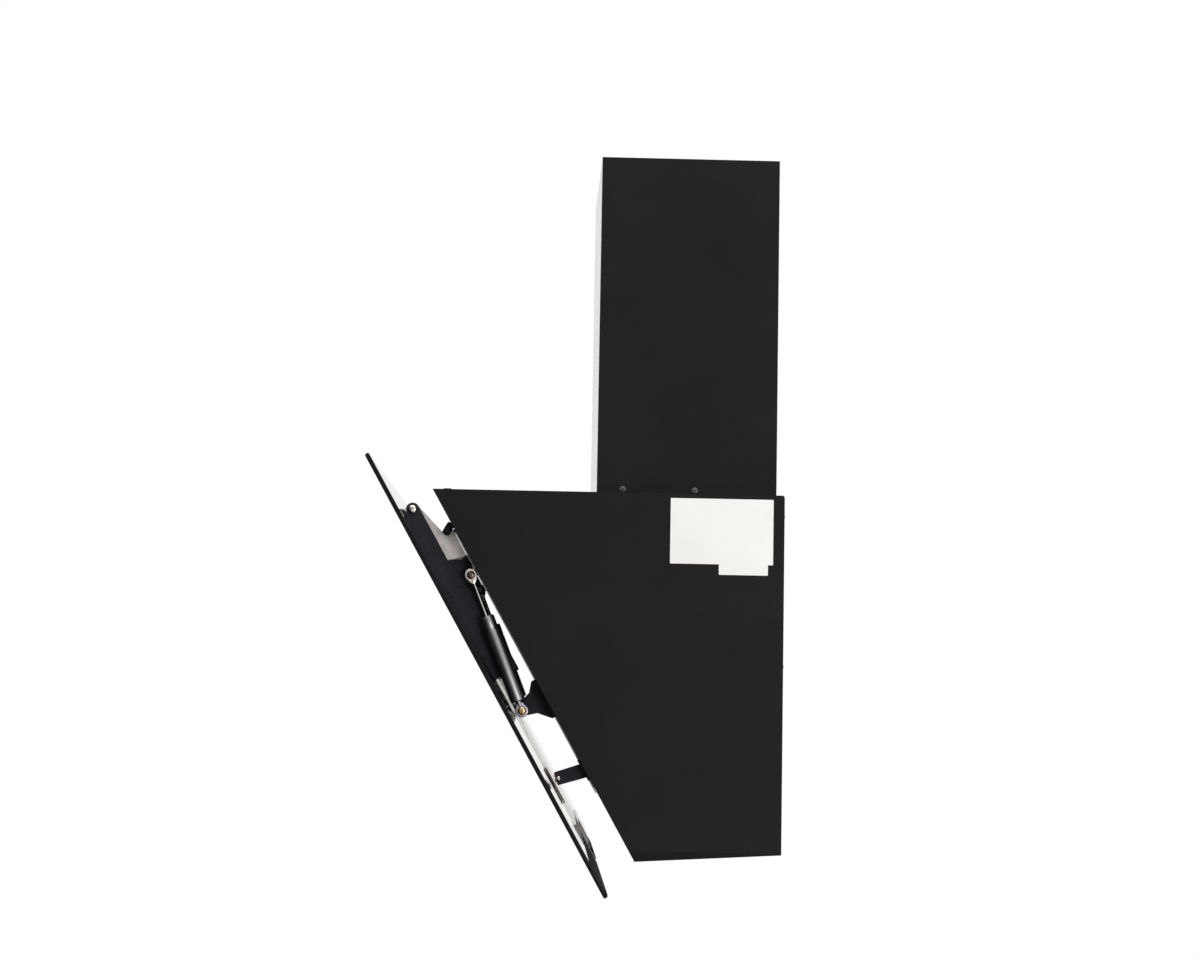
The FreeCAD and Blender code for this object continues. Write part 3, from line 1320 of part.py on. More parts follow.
# Gas strut tube, with its eye at the lower end and a rolled groove under the gland.
def make_strut_tube(label, side):
    body = new_part(f"strut_tube_{label}", LOWER_EYE_FRAME, f"{side} * strut_place")
    groove = "(tube_end - groove_down)"
    corner = "groove_half"
    sketch = new_sketch(body, f"TubeSection_{label}", "XZ_Plane")
    polygon(
        sketch,
        [
            ("0", "tube_start"),
            (f"tube_radius - {corner}", "tube_start"),
            ("tube_radius", f"tube_start + {corner}"),
            ("tube_radius", f"{groove} - groove_half"),
            ("tube_radius - groove_deep", groove),
            ("tube_radius", f"{groove} + groove_half"),
            ("tube_radius", f"tube_end - {corner} / 2"),
            (f"tube_radius - {corner} / 2", "tube_end"),
            ("gland_hole", "tube_end"),
            ("gland_hole", "tube_end - gland_long"),
            ("tube_bore", "tube_end - gland_long"),
            ("tube_bore", "tube_start + tube_plug"),
            ("0", "tube_start + tube_plug"),
        ],
    )
    turn(body, sketch)
    neck = new_sketch(body, f"TubeNeck_{label}", "XY_Plane", NECK_END)
    circle(neck, "0", "0", "tube_neck")
    pad(body, neck, "tube_plug")
    strut_eye(body, f"TubeEye_{label}")
    eye_hole(body, f"TubeEyeHole_{label}")


# Gas strut rod, with its eye at the upper end and the piston inside the tube.
def make_strut_rod(label, side):
    body = new_part(f"strut_rod_{label}", UPPER_EYE_FRAME, f"{side} * strut_place")
    sketch = new_sketch(body, f"RodSection_{label}", "XZ_Plane")
    polygon(
        sketch,
        [
            ("0", f"-{NECK_END}"),
            ("neck_radius", f"-{NECK_END}"),
            ("neck_radius", "-neck_long"),
            ("rod_radius", "-neck_long"),
            ("rod_radius", "-rod_long + piston_long"),
            ("piston_radius", "-rod_long + piston_long"),
            ("piston_radius", "-rod_long"),
            ("0", "-rod_long"),
        ],
    )
    turn(body, sketch)
    strut_eye(body, f"RodEye_{label}")
    eye_hole(body, f"RodEyeHole_{label}")


# Rubber bumpers on the front panel, beside the hinge arms.
def make_bumpers():
    body = new_part("bumpers", FRONT_FRAME)
    inner = "(strut_place - stub_wide / 2)"
    root = "(stub_down - stub_rise)"
    corners = [
        face(f"{root} - stub_neck / 2", "0"),
        face("stub_down - stub_neck / 2", "stub_out"),
        face("stub_down + stub_neck / 2", "stub_out - stub_neck / 4"),
        face(f"{root} + stub_neck / 2", "0"),
    ]
    tip = face("stub_down", "stub_out")
    for label, side in SIDES:
        side_plate(body, f"Stub_{label}", corners, inner, "stub_wide", side, bosses=[(*tip, "stub_radius")])


# Catch post on the right, with a magnet in its tip and a screw through its side.
def make_catch():
    root_start, root_end = "(catch_down - catch_root / 2)", "(catch_down + catch_root / 2)"
    tip = "(catch_down - catch_rise)"
    inner = "(plate_place + plate_thick / 2 - catch_wide / 2)"
    post = new_part("catch_post", FRONT_FRAME)
    corners = [
        face(root_start, "0"),
        face(f"{tip} - catch_tip / 2", "catch_out - catch_lean"),
        face(f"{tip} + catch_tip / 2", "catch_out + catch_lean"),
        face(root_end, "0"),
    ]
    side_plate(post, "CatchPlate", corners, inner, "catch_wide", 1, rounded=True)
    middle = "catch_down"
    start, end = f"{middle} - catch_foot_long / 2", f"{middle} + catch_foot_long / 2"
    front_foot(post, "CatchFoot", start, end, f"{inner} - catch_wide", inner, 1)
    magnet_frame = (*front_point(tip, "catch_out"), f"front_lean + 90 - {CATCH_LEAN}")
    magnet = new_part("catch_magnet", magnet_frame, f"{inner} + catch_wide / 2")
    disc = new_sketch(magnet, "MagnetDisc", "XY_Plane")
    circle(disc, "0", "0", "magnet_radius")
    pad(magnet, disc, "magnet_out")
    screw_down, screw_out = f"{tip} + catch_screw_back * sin({CATCH_LEAN})", "catch_out - catch_screw_back"
    screw = new_part("catch_screw", (*front_point(screw_down, screw_out), "front_lean"))
    section = new_sketch(screw, "CatchScrewSection", "XZ_Plane")
    seat = f"{inner} + catch_wide"
    corners = [
        (seat, "0"),
        (seat, "screw_shank"),
        (f"{seat} + screw_head_high / 4", "screw_shank"),
        (f"{seat} + screw_head_high / 2", "screw_shank / 2"),
        (f"{seat} + screw_head_high / 2", "0"),
    ]
    polygon(section, corners)
    turn(screw, section, "H_Axis")


# Striker strip, which the catch magnet holds, on a block that is glued to the glass.
def make_striker():
    body = new_part("striker_strip", FRONT_FRAME)
    middle = "(plate_place + plate_thick / 2)"
    low, high = f"{middle} - strike_wide / 2", f"{middle} + strike_wide / 2"
    base = new_sketch(body, "StrikerBase", "XZ_Plane", f"{GLASS_BACK} - strike_lift")
    rectangle(base, low, high, "-strike_block_end", "-strike_block_start")
    pad(body, base, "strike_lift")
    strip = new_sketch(body, "StrikerFace", "XZ_Plane", f"{GLASS_BACK} - strike_lift - strike_thick")
    rectangle(strip, low, high, "-strike_end", "-strike_start")
    pad(body, strip, "strike_thick")
    block = new_sketch(body, "StrikerBlock", "XZ_Plane", "strike_block_out")
    outer = f"{high} + strike_block_wide"
    rectangle(block, high, outer, "-strike_block_end", "-strike_block_start")
    pad(body, block, f"{GLASS_BACK} - strike_block_out")


# Screws on the top edge of the body, over the side panels' flanges.
def make_case_screws():
    body = new_part("case_screws", BODY_FRAME)
    across = f"({HALF} - skin - flange_reach / 2)"
    sketch = new_sketch(body, "CaseScrewHeads", "XY_Plane")
    for side in ("-1", "1"):
        circle(sketch, f"{side} * {across}", "-top_depth + flange_reach", "screw_head")
    pad(body, sketch, "screw_head_high / 2")


# Screws that hold the bracket feet to the front panel.
def make_front_screws():
    body = new_part("front_screws", FRONT_FRAME)
    arm_x = f"({ARM_PLACE} - arm_foot_wide / 2)"
    post_x = "(plate_place - post_foot_wide / 2)"
    arm_span = "(arm_foot_end - arm_foot_start)"
    post_span = "(post_end - post_start)"
    catch_x = "(plate_place + plate_thick / 2 - catch_wide)"
    sketch = new_sketch(body, "FrontScrewHeads", "XZ_Plane", "foot_plate")
    for side in ("-1", "1"):
        for share in FOOT_SCREW_SHARES:
            circle(sketch, f"{side} * {arm_x}", f"-arm_foot_start - {share} * {arm_span}", "screw_head")
            circle(sketch, f"{side} * {post_x}", f"-post_start - {share} * {post_span}", "screw_head")
    circle(sketch, catch_x, "-catch_down", "screw_head")
    pad(body, sketch, "screw_head_high")


def build():
    for label, side in SIDES:
        make_side_panel(label, side)
    make_top_panel()
    make_back_panel()
    make_front_panel()
    make_bottom_tray()
    make_lamps()
    make_chimney_cover()
    make_inner_chimney()
    make_wall_strap()
    make_chimney_angles()
    make_chimney_screws()
    make_duct_spigot()
    make_duct_flange()
    make_flap_pin()
    make_flap("front", 1, "knuckle_start")
    make_flap("back", -1, "(knuckle_start + knuckle_pitch)")
    make_scroll_wrap()
    for label, side in SIDES:
        make_scroll_side(label, side)
    make_blower_feet()
    make_outlet_transition()
    make_motor()
    make_motor_bracket()
    make_impeller()
    make_motor_shaft()
    make_control_box()
    make_cable_gland()
    make_filter()
    make_glass()
    make_backing_plate()
    make_touch_control()
    for label, side in SIDES:
        make_pivot_bracket(label, side)
        make_lower_rail(label, side)
        make_hinge_arm(label, side)
        make_strut_bracket(label, side)
        make_strut_tube(label, side)
        make_strut_rod(label, side)
    make_bumpers()
    make_hinge_bolts()
    make_eye_screws("upper_eye_screws", UPPER_EYE_FRAME)
    make_eye_screws("lower_eye_screws", LOWER_EYE_FRAME)
    make_catch()
    make_striker()
    make_case_screws()
    make_front_screws()
    doc.recompute()


def check():
    for thing in doc.Objects:
        if {"Invalid", "Error"} & set(thing.State):
            raise RuntimeError(f"{thing.Label} failed: {thing.State}")
    for part in PARTS:
        if part.Shape.isNull() or not part.Shape.isValid():
            raise RuntimeError(f"{part.Label} has no valid shape")


def export():
    os.makedirs("parts", exist_ok=True)
    for part in PARTS:
        part.Shape.exportStep(f"parts/{part.Label}.step")
        print(part.Label, len(part.Shape.Solids), round(part.Shape.Volume))


build()
check()
export()
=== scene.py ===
# %% [markdown]
# # A wall cooker hood with a slanted glass front
#
# The hood hangs on a kitchen wall. A folded steel body holds the blower, a sheet of black glass
# covers its slanted front, and two gas struts carry the glass when it swings out for cleaning.
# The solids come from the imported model, in metres and in their final places. This lesson sets up
# the camera and the light, gives every sheet, pane and screw its finish, and models the small
# pieces that the solids keep plain, such as screw heads and the net of the grease filter.

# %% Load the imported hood
from math import cos, pi, radians, sin

import bmesh
import bpy
from mathutils import Matrix, Vector


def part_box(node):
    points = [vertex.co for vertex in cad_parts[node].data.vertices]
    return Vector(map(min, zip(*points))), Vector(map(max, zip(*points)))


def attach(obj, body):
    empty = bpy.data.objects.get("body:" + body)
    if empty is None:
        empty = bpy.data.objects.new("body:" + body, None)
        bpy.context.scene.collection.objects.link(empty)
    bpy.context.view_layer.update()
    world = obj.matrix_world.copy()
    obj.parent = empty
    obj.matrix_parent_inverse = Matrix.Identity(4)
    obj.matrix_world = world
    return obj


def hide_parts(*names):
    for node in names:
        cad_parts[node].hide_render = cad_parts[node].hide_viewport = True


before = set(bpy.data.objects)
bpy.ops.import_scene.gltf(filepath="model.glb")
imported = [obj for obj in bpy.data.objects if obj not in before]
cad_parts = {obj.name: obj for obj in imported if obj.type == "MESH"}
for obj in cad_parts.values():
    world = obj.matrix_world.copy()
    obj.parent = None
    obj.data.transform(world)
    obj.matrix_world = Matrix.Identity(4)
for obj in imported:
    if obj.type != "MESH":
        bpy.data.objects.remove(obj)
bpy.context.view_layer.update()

scene = bpy.context.scene

# %% [markdown]
# ## The camera
#
# The photograph is a side view. The camera stands 2.1 m from the body's right side, about
# level with the middle of the glass, and looks slightly up. Three small angles describe how it
# is turned, and a long lens gives the weak perspective of a product photograph. Building the
# camera's three axes one by one keeps the roll separate from the other two angles.

# %% Set the camera
CAMERA_PLACE = (2.3137, -0.2381, -0.0274)
YAW, PITCH, ROLL = radians(1.602), radians(5.107), radians(1.011)
LENS_MM, SENSOR_MM = 66.03, 36
FARTHEST = 100

ahead = Vector((-cos(PITCH) * cos(YAW), cos(PITCH) * sin(YAW), sin(PITCH)))
level = ahead.cross(Vector((0, 0, 1))).normalized()
above = level.cross(ahead)
rightwards = level * cos(ROLL) + above * sin(ROLL)
upwards = above * cos(ROLL) - level * sin(ROLL)

camera = bpy.data.objects.new("camera", bpy.data.cameras.new("camera"))
camera.data.lens = LENS_MM
camera.data.sensor_width = SENSOR_MM
camera.data.clip_end = FARTHEST
camera.matrix_world = (
    Matrix.Translation(CAMERA_PLACE)
    @ Matrix((rightwards, upwards, -ahead)).transposed().to_4x4()
)
scene.collection.objects.link(camera)
scene.camera = camera
print("camera at", [round(part, 3) for part in camera.location])

# %% [markdown]
# ## Light and background
#
# The photograph is a cut-out on pure white. Here the world is white only for the rays that come
# from the camera, a mirror or a pane, so that gloss shows the background too, while the light
# that falls on the object is softer. That white world, mirrored in the lacquer, draws most of
# the long highlight on the gas strut.

# %% Two helpers for shader nodes
def either(tree, first, second):
    """The larger of two sockets, so 1 where one of two conditions holds."""
    larger = tree.nodes.new("ShaderNodeMath")
    larger.operation = "MAXIMUM"
    tree.links.new(first, larger.inputs[0])
    tree.links.new(second, larger.inputs[1])
    return larger.outputs[0]


def mixed(tree, share, first, second):
    """First where share is 0 and second where it is 1. Share is a number or a socket."""
    mix = tree.nodes.new("ShaderNodeMixShader")
    if isinstance(share, float):
        mix.inputs["Fac"].default_value = share
    else:
        tree.links.new(share, mix.inputs["Fac"])
    tree.links.new(first, mix.inputs[1])
    tree.links.new(second, mix.inputs[2])
    return mix.outputs[0]


# %% Make the world
WHITE = (1, 1, 1, 1)
SOFT_STRENGTH = 0.55

scene.view_settings.view_transform = "Standard"
world = bpy.data.worlds.new("studio")
world.use_nodes = True
scene.world = world
tree = world.node_tree
soft_light = tree.nodes["Background"]
soft_light.inputs["Color"].default_value = WHITE
soft_light.inputs["Strength"].default_value = SOFT_STRENGTH
background = tree.nodes.new("ShaderNodeBackground")
background.inputs["Color"].default_value = WHITE
background.inputs["Strength"].default_value = 1
rays = tree.nodes.new("ShaderNodeLightPath")
seen = either(tree, rays.outputs["Is Camera Ray"], rays.outputs["Is Glossy Ray"])
shown = either(tree, seen, rays.outputs["Is Transmission Ray"])
sky = mixed(tree, shown, soft_light.outputs[0], background.outputs[0])
tree.links.new(sky, tree.nodes["World Output"].inputs["Surface"])
print("view transform", scene.view_settings.view_transform)

# %% [markdown]
# Four square area lamps give the soft light a direction. The small one beside the camera
# lights the labels and the near faces, and the high one lifts the chimney's side.

# %% Hang the lamps
AIM = Vector((0, -0.2, 0.1))
LAMPS = (  # name, place, width in metres, power in watts
    ("side_softbox", (2.3, 0.72, -0.1), 0.5, 12.5),
    ("high_softbox", (2.0, 0.9, 2.2), 1.0, 17),
    ("front_softbox", (-1.2, -2.4, 1.1), 1.4, 30),
    ("top_softbox", (0.8, -0.4, 2.4), 1.4, 26),
)
for name, place, width, power in LAMPS:
    lamp = bpy.data.objects.new(name, bpy.data.lights.new(name, "AREA"))
    lamp.data.size = width
    lamp.data.energy = power
    lamp.location = place
    lamp.rotation_euler = (AIM - Vector(place)).to_track_quat("-Z", "Y").to_euler()
    scene.collection.objects.link(lamp)
print(len(LAMPS), "lamps")

# %% [markdown]
# ## The floor
#
# Such a hood hangs about 1.6 m over the kitchen floor, so the floor is a pale disc that far
# below. It is lit partly by itself, which keeps it as white as the background, and partly by
# the lamps, which keeps the object's soft shadow. Towards its rim it fades out, so no horizon
# shows, and from below it is clear.

# %% Lay the floor
FLOOR_MIDDLE = (0, -0.2, -1.75)
FLOOR_RADIUS = 3.4

disc = bmesh.new()
bmesh.ops.create_circle(disc, cap_ends=True, segments=64, radius=FLOOR_RADIUS)
bmesh.ops.translate(disc, vec=FLOOR_MIDDLE, verts=disc.verts)
floor = bpy.data.objects.new("floor", bpy.data.meshes.new("floor"))
disc.to_mesh(floor.data)
disc.free()
scene.collection.objects.link(floor)
print("floor at", FLOOR_MIDDLE[2])

# %% Paint the floor
PALE = (0.86, 0.86, 0.86, 1)
OWN_LIGHT = 0.45
FADE_FROM, FADE_TO = 1.4, 3.2

floor_paint = bpy.data.materials.new("floor_paint")
floor_paint.use_nodes = True
tree = floor_paint.node_tree
matt = tree.nodes["Principled BSDF"]
matt.inputs["Base Color"].default_value = PALE
matt.inputs["Roughness"].default_value = 1
matt.inputs["Specular IOR Level"].default_value = 0
glow = tree.nodes.new("ShaderNodeEmission")
glow.inputs["Strength"].default_value = 1
part_lit = mixed(tree, OWN_LIGHT, matt.outputs[0], glow.outputs[0])

place = tree.nodes.new("ShaderNodeTexCoord")
from_middle = tree.nodes.new("ShaderNodeVectorMath")
from_middle.operation = "DISTANCE"
from_middle.inputs[1].default_value = FLOOR_MIDDLE
tree.links.new(place.outputs["Object"], from_middle.inputs[0])
fade = tree.nodes.new("ShaderNodeMapRange")
fade.inputs["From Min"].default_value = FADE_FROM
fade.inputs["From Max"].default_value = FADE_TO
tree.links.new(from_middle.outputs["Value"], fade.inputs["Value"])
side = tree.nodes.new("ShaderNodeNewGeometry")
clear = either(tree, fade.outputs[0], side.outputs["Backfacing"])
nothing = tree.nodes.new("ShaderNodeBsdfTransparent")
ground = mixed(tree, clear, part_lit, nothing.outputs[0])
tree.links.new(ground, tree.nodes["Material Output"].inputs["Surface"])
floor.data.materials.append(floor_paint)
print("the floor fades out between", FADE_FROM, "and", FADE_TO, "m")

# %% [markdown]
# ## How the finishes are made
#
# Every finish starts from one Principled shader with plain values. A pattern on the piece's
# Object coordinates then varies its colour or its roughness, and a fine one raises its grain.
# On screws, filter, plastics and rubber a Bevel node also rounds the shading of the edges, which
# then catch a thin line of light. Colours are the 0 to 255 values that a picture shows.


# %% Plain finishes
def seen_as(red, green, blue):
    """The linear colour of a picture's 0 to 255 values."""
    return [((part / 255 + 0.055) / 1.055) ** 2.4 for part in (red, green, blue)]


def new_finish(name, colour, roughness, metallic=0.0, specular=0.5):
    """A material whose Principled shader has these plain values."""
    material = bpy.data.materials.new(name)
    material.use_nodes = True
    shader = material.node_tree.nodes["Principled BSDF"]
    shader.inputs["Base Color"].default_value = (*seen_as(*colour), 1)
    shader.inputs["Roughness"].default_value = roughness
    shader.inputs["Metallic"].default_value = metallic
    shader.inputs["Specular IOR Level"].default_value = specular
    return material


def gloss_over(material, index, roughness):
    """A clear coat. With a low index it shines only where it is seen almost edge on."""
    shader = material.node_tree.nodes["Principled BSDF"]
    shader.inputs["Coat Weight"].default_value = 1
    shader.inputs["Coat IOR"].default_value = index
    shader.inputs["Coat Roughness"].default_value = roughness


print("a mid grey is", round(seen_as(128, 128, 128)[0], 3))

# %% Patterns over a finish
NOISE_LOW, NOISE_HIGH = 0.3, 0.7  # noise seldom leaves this span
RAMP_LOW, RAMP_HIGH = 0.32, 0.68


def pattern(material, size, stretch=(1, 1, 1), detail=3.0, cells=False):
    """Cloudy noise, or flat cells, whose marks are about size metres wide."""
    tree = material.node_tree
    place = tree.nodes.new("ShaderNodeTexCoord")
    scaled = tree.nodes.new("ShaderNodeMapping")
    scaled.inputs["Scale"].default_value = [share / size for share in stretch]
    tree.links.new(place.outputs["Object"], scaled.inputs["Vector"])
    texture = tree.nodes.new("ShaderNodeTexVoronoi" if cells else "ShaderNodeTexNoise")
    texture.inputs["Scale"].default_value = 1
    if not cells:
        texture.inputs["Detail"].default_value = detail
    tree.links.new(scaled.outputs[0], texture.inputs["Vector"])
    return texture.outputs["Color" if cells else "Fac"]


def vary_roughness(material, source, low, high):
    """Roughness between low and high, as the pattern goes."""
    tree = material.node_tree
    spread = tree.nodes.new("ShaderNodeMapRange")
    spread.inputs["From Min"].default_value = NOISE_LOW
    spread.inputs["From Max"].default_value = NOISE_HIGH
    spread.inputs["To Min"].default_value = low
    spread.inputs["To Max"].default_value = high
    tree.links.new(source, spread.inputs["Value"])
    tree.links.new(spread.outputs[0], tree.nodes["Principled BSDF"].inputs["Roughness"])


def vary_colour(material, source, dark, light):
    """Colour between dark and light, as the pattern goes."""
    tree = material.node_tree
    ramp = tree.nodes.new("ShaderNodeValToRGB")
    ends = ramp.color_ramp.elements
    ends[0].position, ends[1].position = RAMP_LOW, RAMP_HIGH
    ends[0].color = (*seen_as(*dark), 1)
    ends[1].color = (*seen_as(*light), 1)
    tree.links.new(source, ramp.inputs["Fac"])
    tree.links.new(ramp.outputs["Color"], tree.nodes["Principled BSDF"].inputs["Base Color"])


def raise_grain(material, source, depth, edge=0.0):
    """A bump of that depth in metres, over edges that shade as if rounded."""
    tree = material.node_tree
    bump = tree.nodes.new("ShaderNodeBump")
    bump.inputs["Distance"].default_value = depth
    tree.links.new(source, bump.inputs["Height"])
    if edge:
        rounded = tree.nodes.new("ShaderNodeBevel")
        rounded.samples = 4
        rounded.inputs["Radius"].default_value = edge
        tree.links.new(rounded.outputs[0], bump.inputs["Normal"])
    tree.links.new(bump.outputs[0], tree.nodes["Principled BSDF"].inputs["Normal"])


print("patterns vary colour, roughness and grain")

# %% [markdown]
# ## Powder coat
#
# The body and chimney are steel with a satin black powder coat. Up close it has a fine orange
# peel, and over a hand's breadth its sheen is uneven, with a trace of dust. Its gloss is weak,
# so it stays black even in a white studio, and only a face seen almost edge on turns pale. The
# brackets behind the glass and the catch post get a duller copy of that black, painted lighter
# as painted light against the shade between glass and body, and the tray under the body a
# darker copy, as painted shade under the side panel's edge.

# %% Powder coat
FINE, COARSE = 0.00001, 0.00003
PEEL = 0.0011

powder_coat = new_finish("powder_coat", (18, 18, 19), 0.5, specular=0.03)
gloss_over(powder_coat, 1.2, 0.1)
vary_colour(powder_coat, pattern(powder_coat, 0.09, detail=6), (15, 15, 16), (22, 22, 23))
vary_roughness(powder_coat, pattern(powder_coat, 0.05, detail=5), 0.42, 0.58)
raise_grain(powder_coat, pattern(powder_coat, PEEL, detail=1), FINE)

# Painted light: a duller black, lighter than the body's, that stands in for light in the shade
# between glass and body.
painted_light_matt_coat = new_finish("painted_light_matt_coat", (44, 44, 50), 0.6, specular=0.1)
vary_colour(painted_light_matt_coat, pattern(painted_light_matt_coat, 0.02, detail=4), (40, 40, 46), (48, 48, 54))
vary_roughness(painted_light_matt_coat, pattern(painted_light_matt_coat, 0.006), 0.54, 0.68)

# Painted shade: a darker black for the tray, standing in for the shade under the side panel's
# edge.
painted_shade_tray_coat = new_finish("painted_shade_tray_coat", (11, 11, 12), 0.55, specular=0.1)
vary_colour(painted_shade_tray_coat, pattern(painted_shade_tray_coat, 0.06, detail=5), (9, 9, 10), (15, 15, 16))
vary_roughness(painted_shade_tray_coat, pattern(painted_shade_tray_coat, 0.03), 0.48, 0.62)
raise_grain(painted_shade_tray_coat, pattern(painted_shade_tray_coat, PEEL, detail=1), FINE)

lamp_rim_coat = new_finish("lamp_rim_coat", (30, 30, 32), 0.3, specular=0.3)
vary_roughness(lamp_rim_coat, pattern(lamp_rim_coat, 0.012), 0.24, 0.36)
raise_grain(lamp_rim_coat, pattern(lamp_rim_coat, 0.0008, detail=1), FINE)
print("powder coats made")

# %% [markdown]
# ## Bare metals
#
# The hinge arms and the blower are galvanised sheet: flat grey, with the faint crystals of the
# zinc, which a cell pattern gives. The backing plate's zinc is smoother and mirrors the room.
# Bolts are bright zinc, small screws black zinc, and the struts' screws dark steel above and
# brass plated below. The filter is brushed aluminium, whose streaks are noise stretched along
# one axis.

# %% Zinc and steel sheet
galvanised = new_finish("galvanised", (194, 187, 183), 0.42, metallic=0.9)
crystals = pattern(galvanised, 0.006, cells=True)
vary_colour(galvanised, crystals, (182, 176, 172), (201, 195, 191))
vary_roughness(galvanised, crystals, 0.36, 0.48)
raise_grain(galvanised, pattern(galvanised, 0.0015, stretch=(1, 1, 0.15)), FINE)

smooth_zinc = new_finish("smooth_zinc", (226, 223, 218), 0.15, metallic=0.9)
vary_colour(
    smooth_zinc, pattern(smooth_zinc, 0.02, cells=True), (223, 220, 215), (229, 226, 221)
)
vary_roughness(smooth_zinc, pattern(smooth_zinc, 0.05), 0.14, 0.16)

cut_zinc = new_finish("cut_zinc", (240, 237, 231), 0.3, metallic=1.0)
vary_colour(cut_zinc, pattern(cut_zinc, 0.002), (232, 228, 221), (246, 244, 240))
vary_roughness(cut_zinc, pattern(cut_zinc, 0.001), 0.24, 0.38)

striker_steel = new_finish("striker_steel", (96, 88, 76), 0.42, metallic=0.7)
vary_colour(striker_steel, pattern(striker_steel, 0.004), (84, 76, 64), (110, 102, 90))
vary_roughness(striker_steel, pattern(striker_steel, 0.002), 0.36, 0.5)
print("sheet metals made")


# %% Plated screws
def plated(name, colour, dark, light, roughness, metallic):
    """The plating of a small turned part, with a fine grain and softened edges."""
    material = new_finish(name, colour, roughness, metallic=metallic)
    vary_colour(material, pattern(material, 0.003), dark, light)
    raise_grain(material, pattern(material, 0.0006, detail=1), FINE, edge=0.0002)
    return material


bright_zinc = plated("bright_zinc", (206, 199, 188), (186, 176, 160), (218, 212, 202), 0.24, 1.0)
vary_roughness(bright_zinc, pattern(bright_zinc, 0.0012), 0.18, 0.34)
brass = plated("brass", (196, 160, 108), (164, 128, 80), (214, 184, 136), 0.28, 1.0)
vary_roughness(brass, pattern(brass, 0.0012), 0.22, 0.38)
dark_steel = plated("dark_steel", (104, 98, 92), (84, 78, 74), (122, 116, 108), 0.3, 1.0)
grey_zinc = plated("grey_zinc", (152, 152, 160), (136, 136, 144), (166, 166, 174), 0.34, 0.9)
black_zinc = plated("black_zinc", (74, 74, 78), (58, 58, 62), (86, 86, 90), 0.35, 0.9)
print("platings made")

# %% Brushed aluminium and the motor's case
brushed = new_finish("brushed_aluminium", (186, 187, 190), 0.34, metallic=1.0)
streaks = pattern(brushed, 0.0012, stretch=(0.05, 1, 1))
vary_colour(brushed, streaks, (172, 173, 176), (198, 199, 202))
vary_roughness(brushed, pattern(brushed, 0.0009, stretch=(0.04, 1, 1)), 0.28, 0.42)
raise_grain(brushed, pattern(brushed, 0.0006, stretch=(0.04, 1, 1)), FINE, edge=0.0003)

motor_case = new_finish("motor_case", (112, 114, 118), 0.45, metallic=0.8)
vary_colour(motor_case, pattern(motor_case, 0.02), (100, 102, 106), (122, 124, 128))
raise_grain(motor_case, pattern(motor_case, 0.001), COARSE, edge=0.0006)
print("filter and motor finishes made")

# %% [markdown]
# ## Glass, plastics and rubber
#
# The front is toughened glass, painted black behind, so it is a black mirror with faint
# smudges. The gland and flaps are moulded plastic with a spark-eroded grain, and the bumpers
# are dull rubber. The strut's cylinder is lacquered and its rod is chromed.

# %% Glass
black_glass = new_finish("black_glass", (8, 8, 11), 0.03, specular=0.12)
vary_roughness(black_glass, pattern(black_glass, 0.08, detail=6), 0.015, 0.06)

lamp_lens = new_finish("lamp_lens", (226, 229, 232), 0.4)
vary_colour(lamp_lens, pattern(lamp_lens, 0.012), (218, 221, 224), (234, 236, 238))
vary_roughness(lamp_lens, pattern(lamp_lens, 0.003), 0.3, 0.45)
print("glass made")

# %% Plastics, rubber, lacquer and chrome
black_plastic = new_finish("black_plastic", (27, 27, 28), 0.46, specular=0.35)
vary_roughness(black_plastic, pattern(black_plastic, 0.02), 0.4, 0.54)
raise_grain(black_plastic, pattern(black_plastic, 0.0005, detail=1), COARSE, edge=0.0005)

pale_plastic = new_finish("pale_plastic", (224, 221, 213), 0.45)
vary_colour(pale_plastic, pattern(pale_plastic, 0.03), (216, 212, 204), (228, 225, 218))
raise_grain(pale_plastic, pattern(pale_plastic, 0.0008, detail=1), COARSE, edge=0.0005)

black_rubber = new_finish("black_rubber", (22, 22, 23), 0.8, specular=0.25)
vary_colour(black_rubber, pattern(black_rubber, 0.002), (17, 17, 18), (30, 30, 31))
raise_grain(black_rubber, pattern(black_rubber, 0.0006), 0.00004, edge=0.0008)

lacquer = new_finish("strut_lacquer", (20, 20, 21), 0.36, specular=1.0)
gloss_over(lacquer, 2.4, 0.34)
vary_roughness(lacquer, pattern(lacquer, 0.012), 0.32, 0.4)
raise_grain(lacquer, pattern(lacquer, 0.0009, detail=1), FINE)

chrome = new_finish("chromed_rod", (214, 210, 204), 0.14, metallic=1.0)
vary_roughness(chrome, pattern(chrome, 0.0009, stretch=(1, 1, 0.1)), 0.1, 0.2)
print(len(bpy.data.materials), "materials so far")

# %% [markdown]
# ## Dressing the solids
#
# Each solid came in with its slot's name on its material. One table says which finish stands
# for which slot, and the loop puts it in the solid's own slot, so the meshes stay untouched.
# A second table names the few solids whose finish differs from the rest of their slot.

# %% Dress the solids
FINISHES = {
    "black_paint": powder_coat,
    "galvanised_steel": galvanised,
    "bright_steel": bright_zinc,
    "brass_plate": brass,
    "motor_case": motor_case,
    "black_glass": black_glass,
    "frosted_lens": lamp_lens,
    "filter_aluminium": brushed,
    "black_plastic": black_plastic,
    "pale_plastic": pale_plastic,
    "black_rubber": black_rubber,
}
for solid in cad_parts.values():
    for holder in solid.material_slots:
        holder.material = FINISHES[holder.material.name.split(".")[0]]

OWN_FINISHES = {
    "case_screws": black_zinc,
    "backing_plate": smooth_zinc,
    # The tray takes the darker black coat of painted shade.
    "bottom_tray": painted_shade_tray_coat,
    "catch_post": painted_light_matt_coat,
}
# The brackets, like the catch post above, take the lighter black coat of painted light.
for bracket in ("pivot_bracket", "lower_rail", "strut_bracket"):
    for hand in ("right", "left"):
        OWN_FINISHES[f"{bracket}_{hand}"] = painted_light_matt_coat
for name, finish in OWN_FINISHES.items():
    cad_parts[name].material_slots[0].material = finish
print(len(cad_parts), "solids dressed")

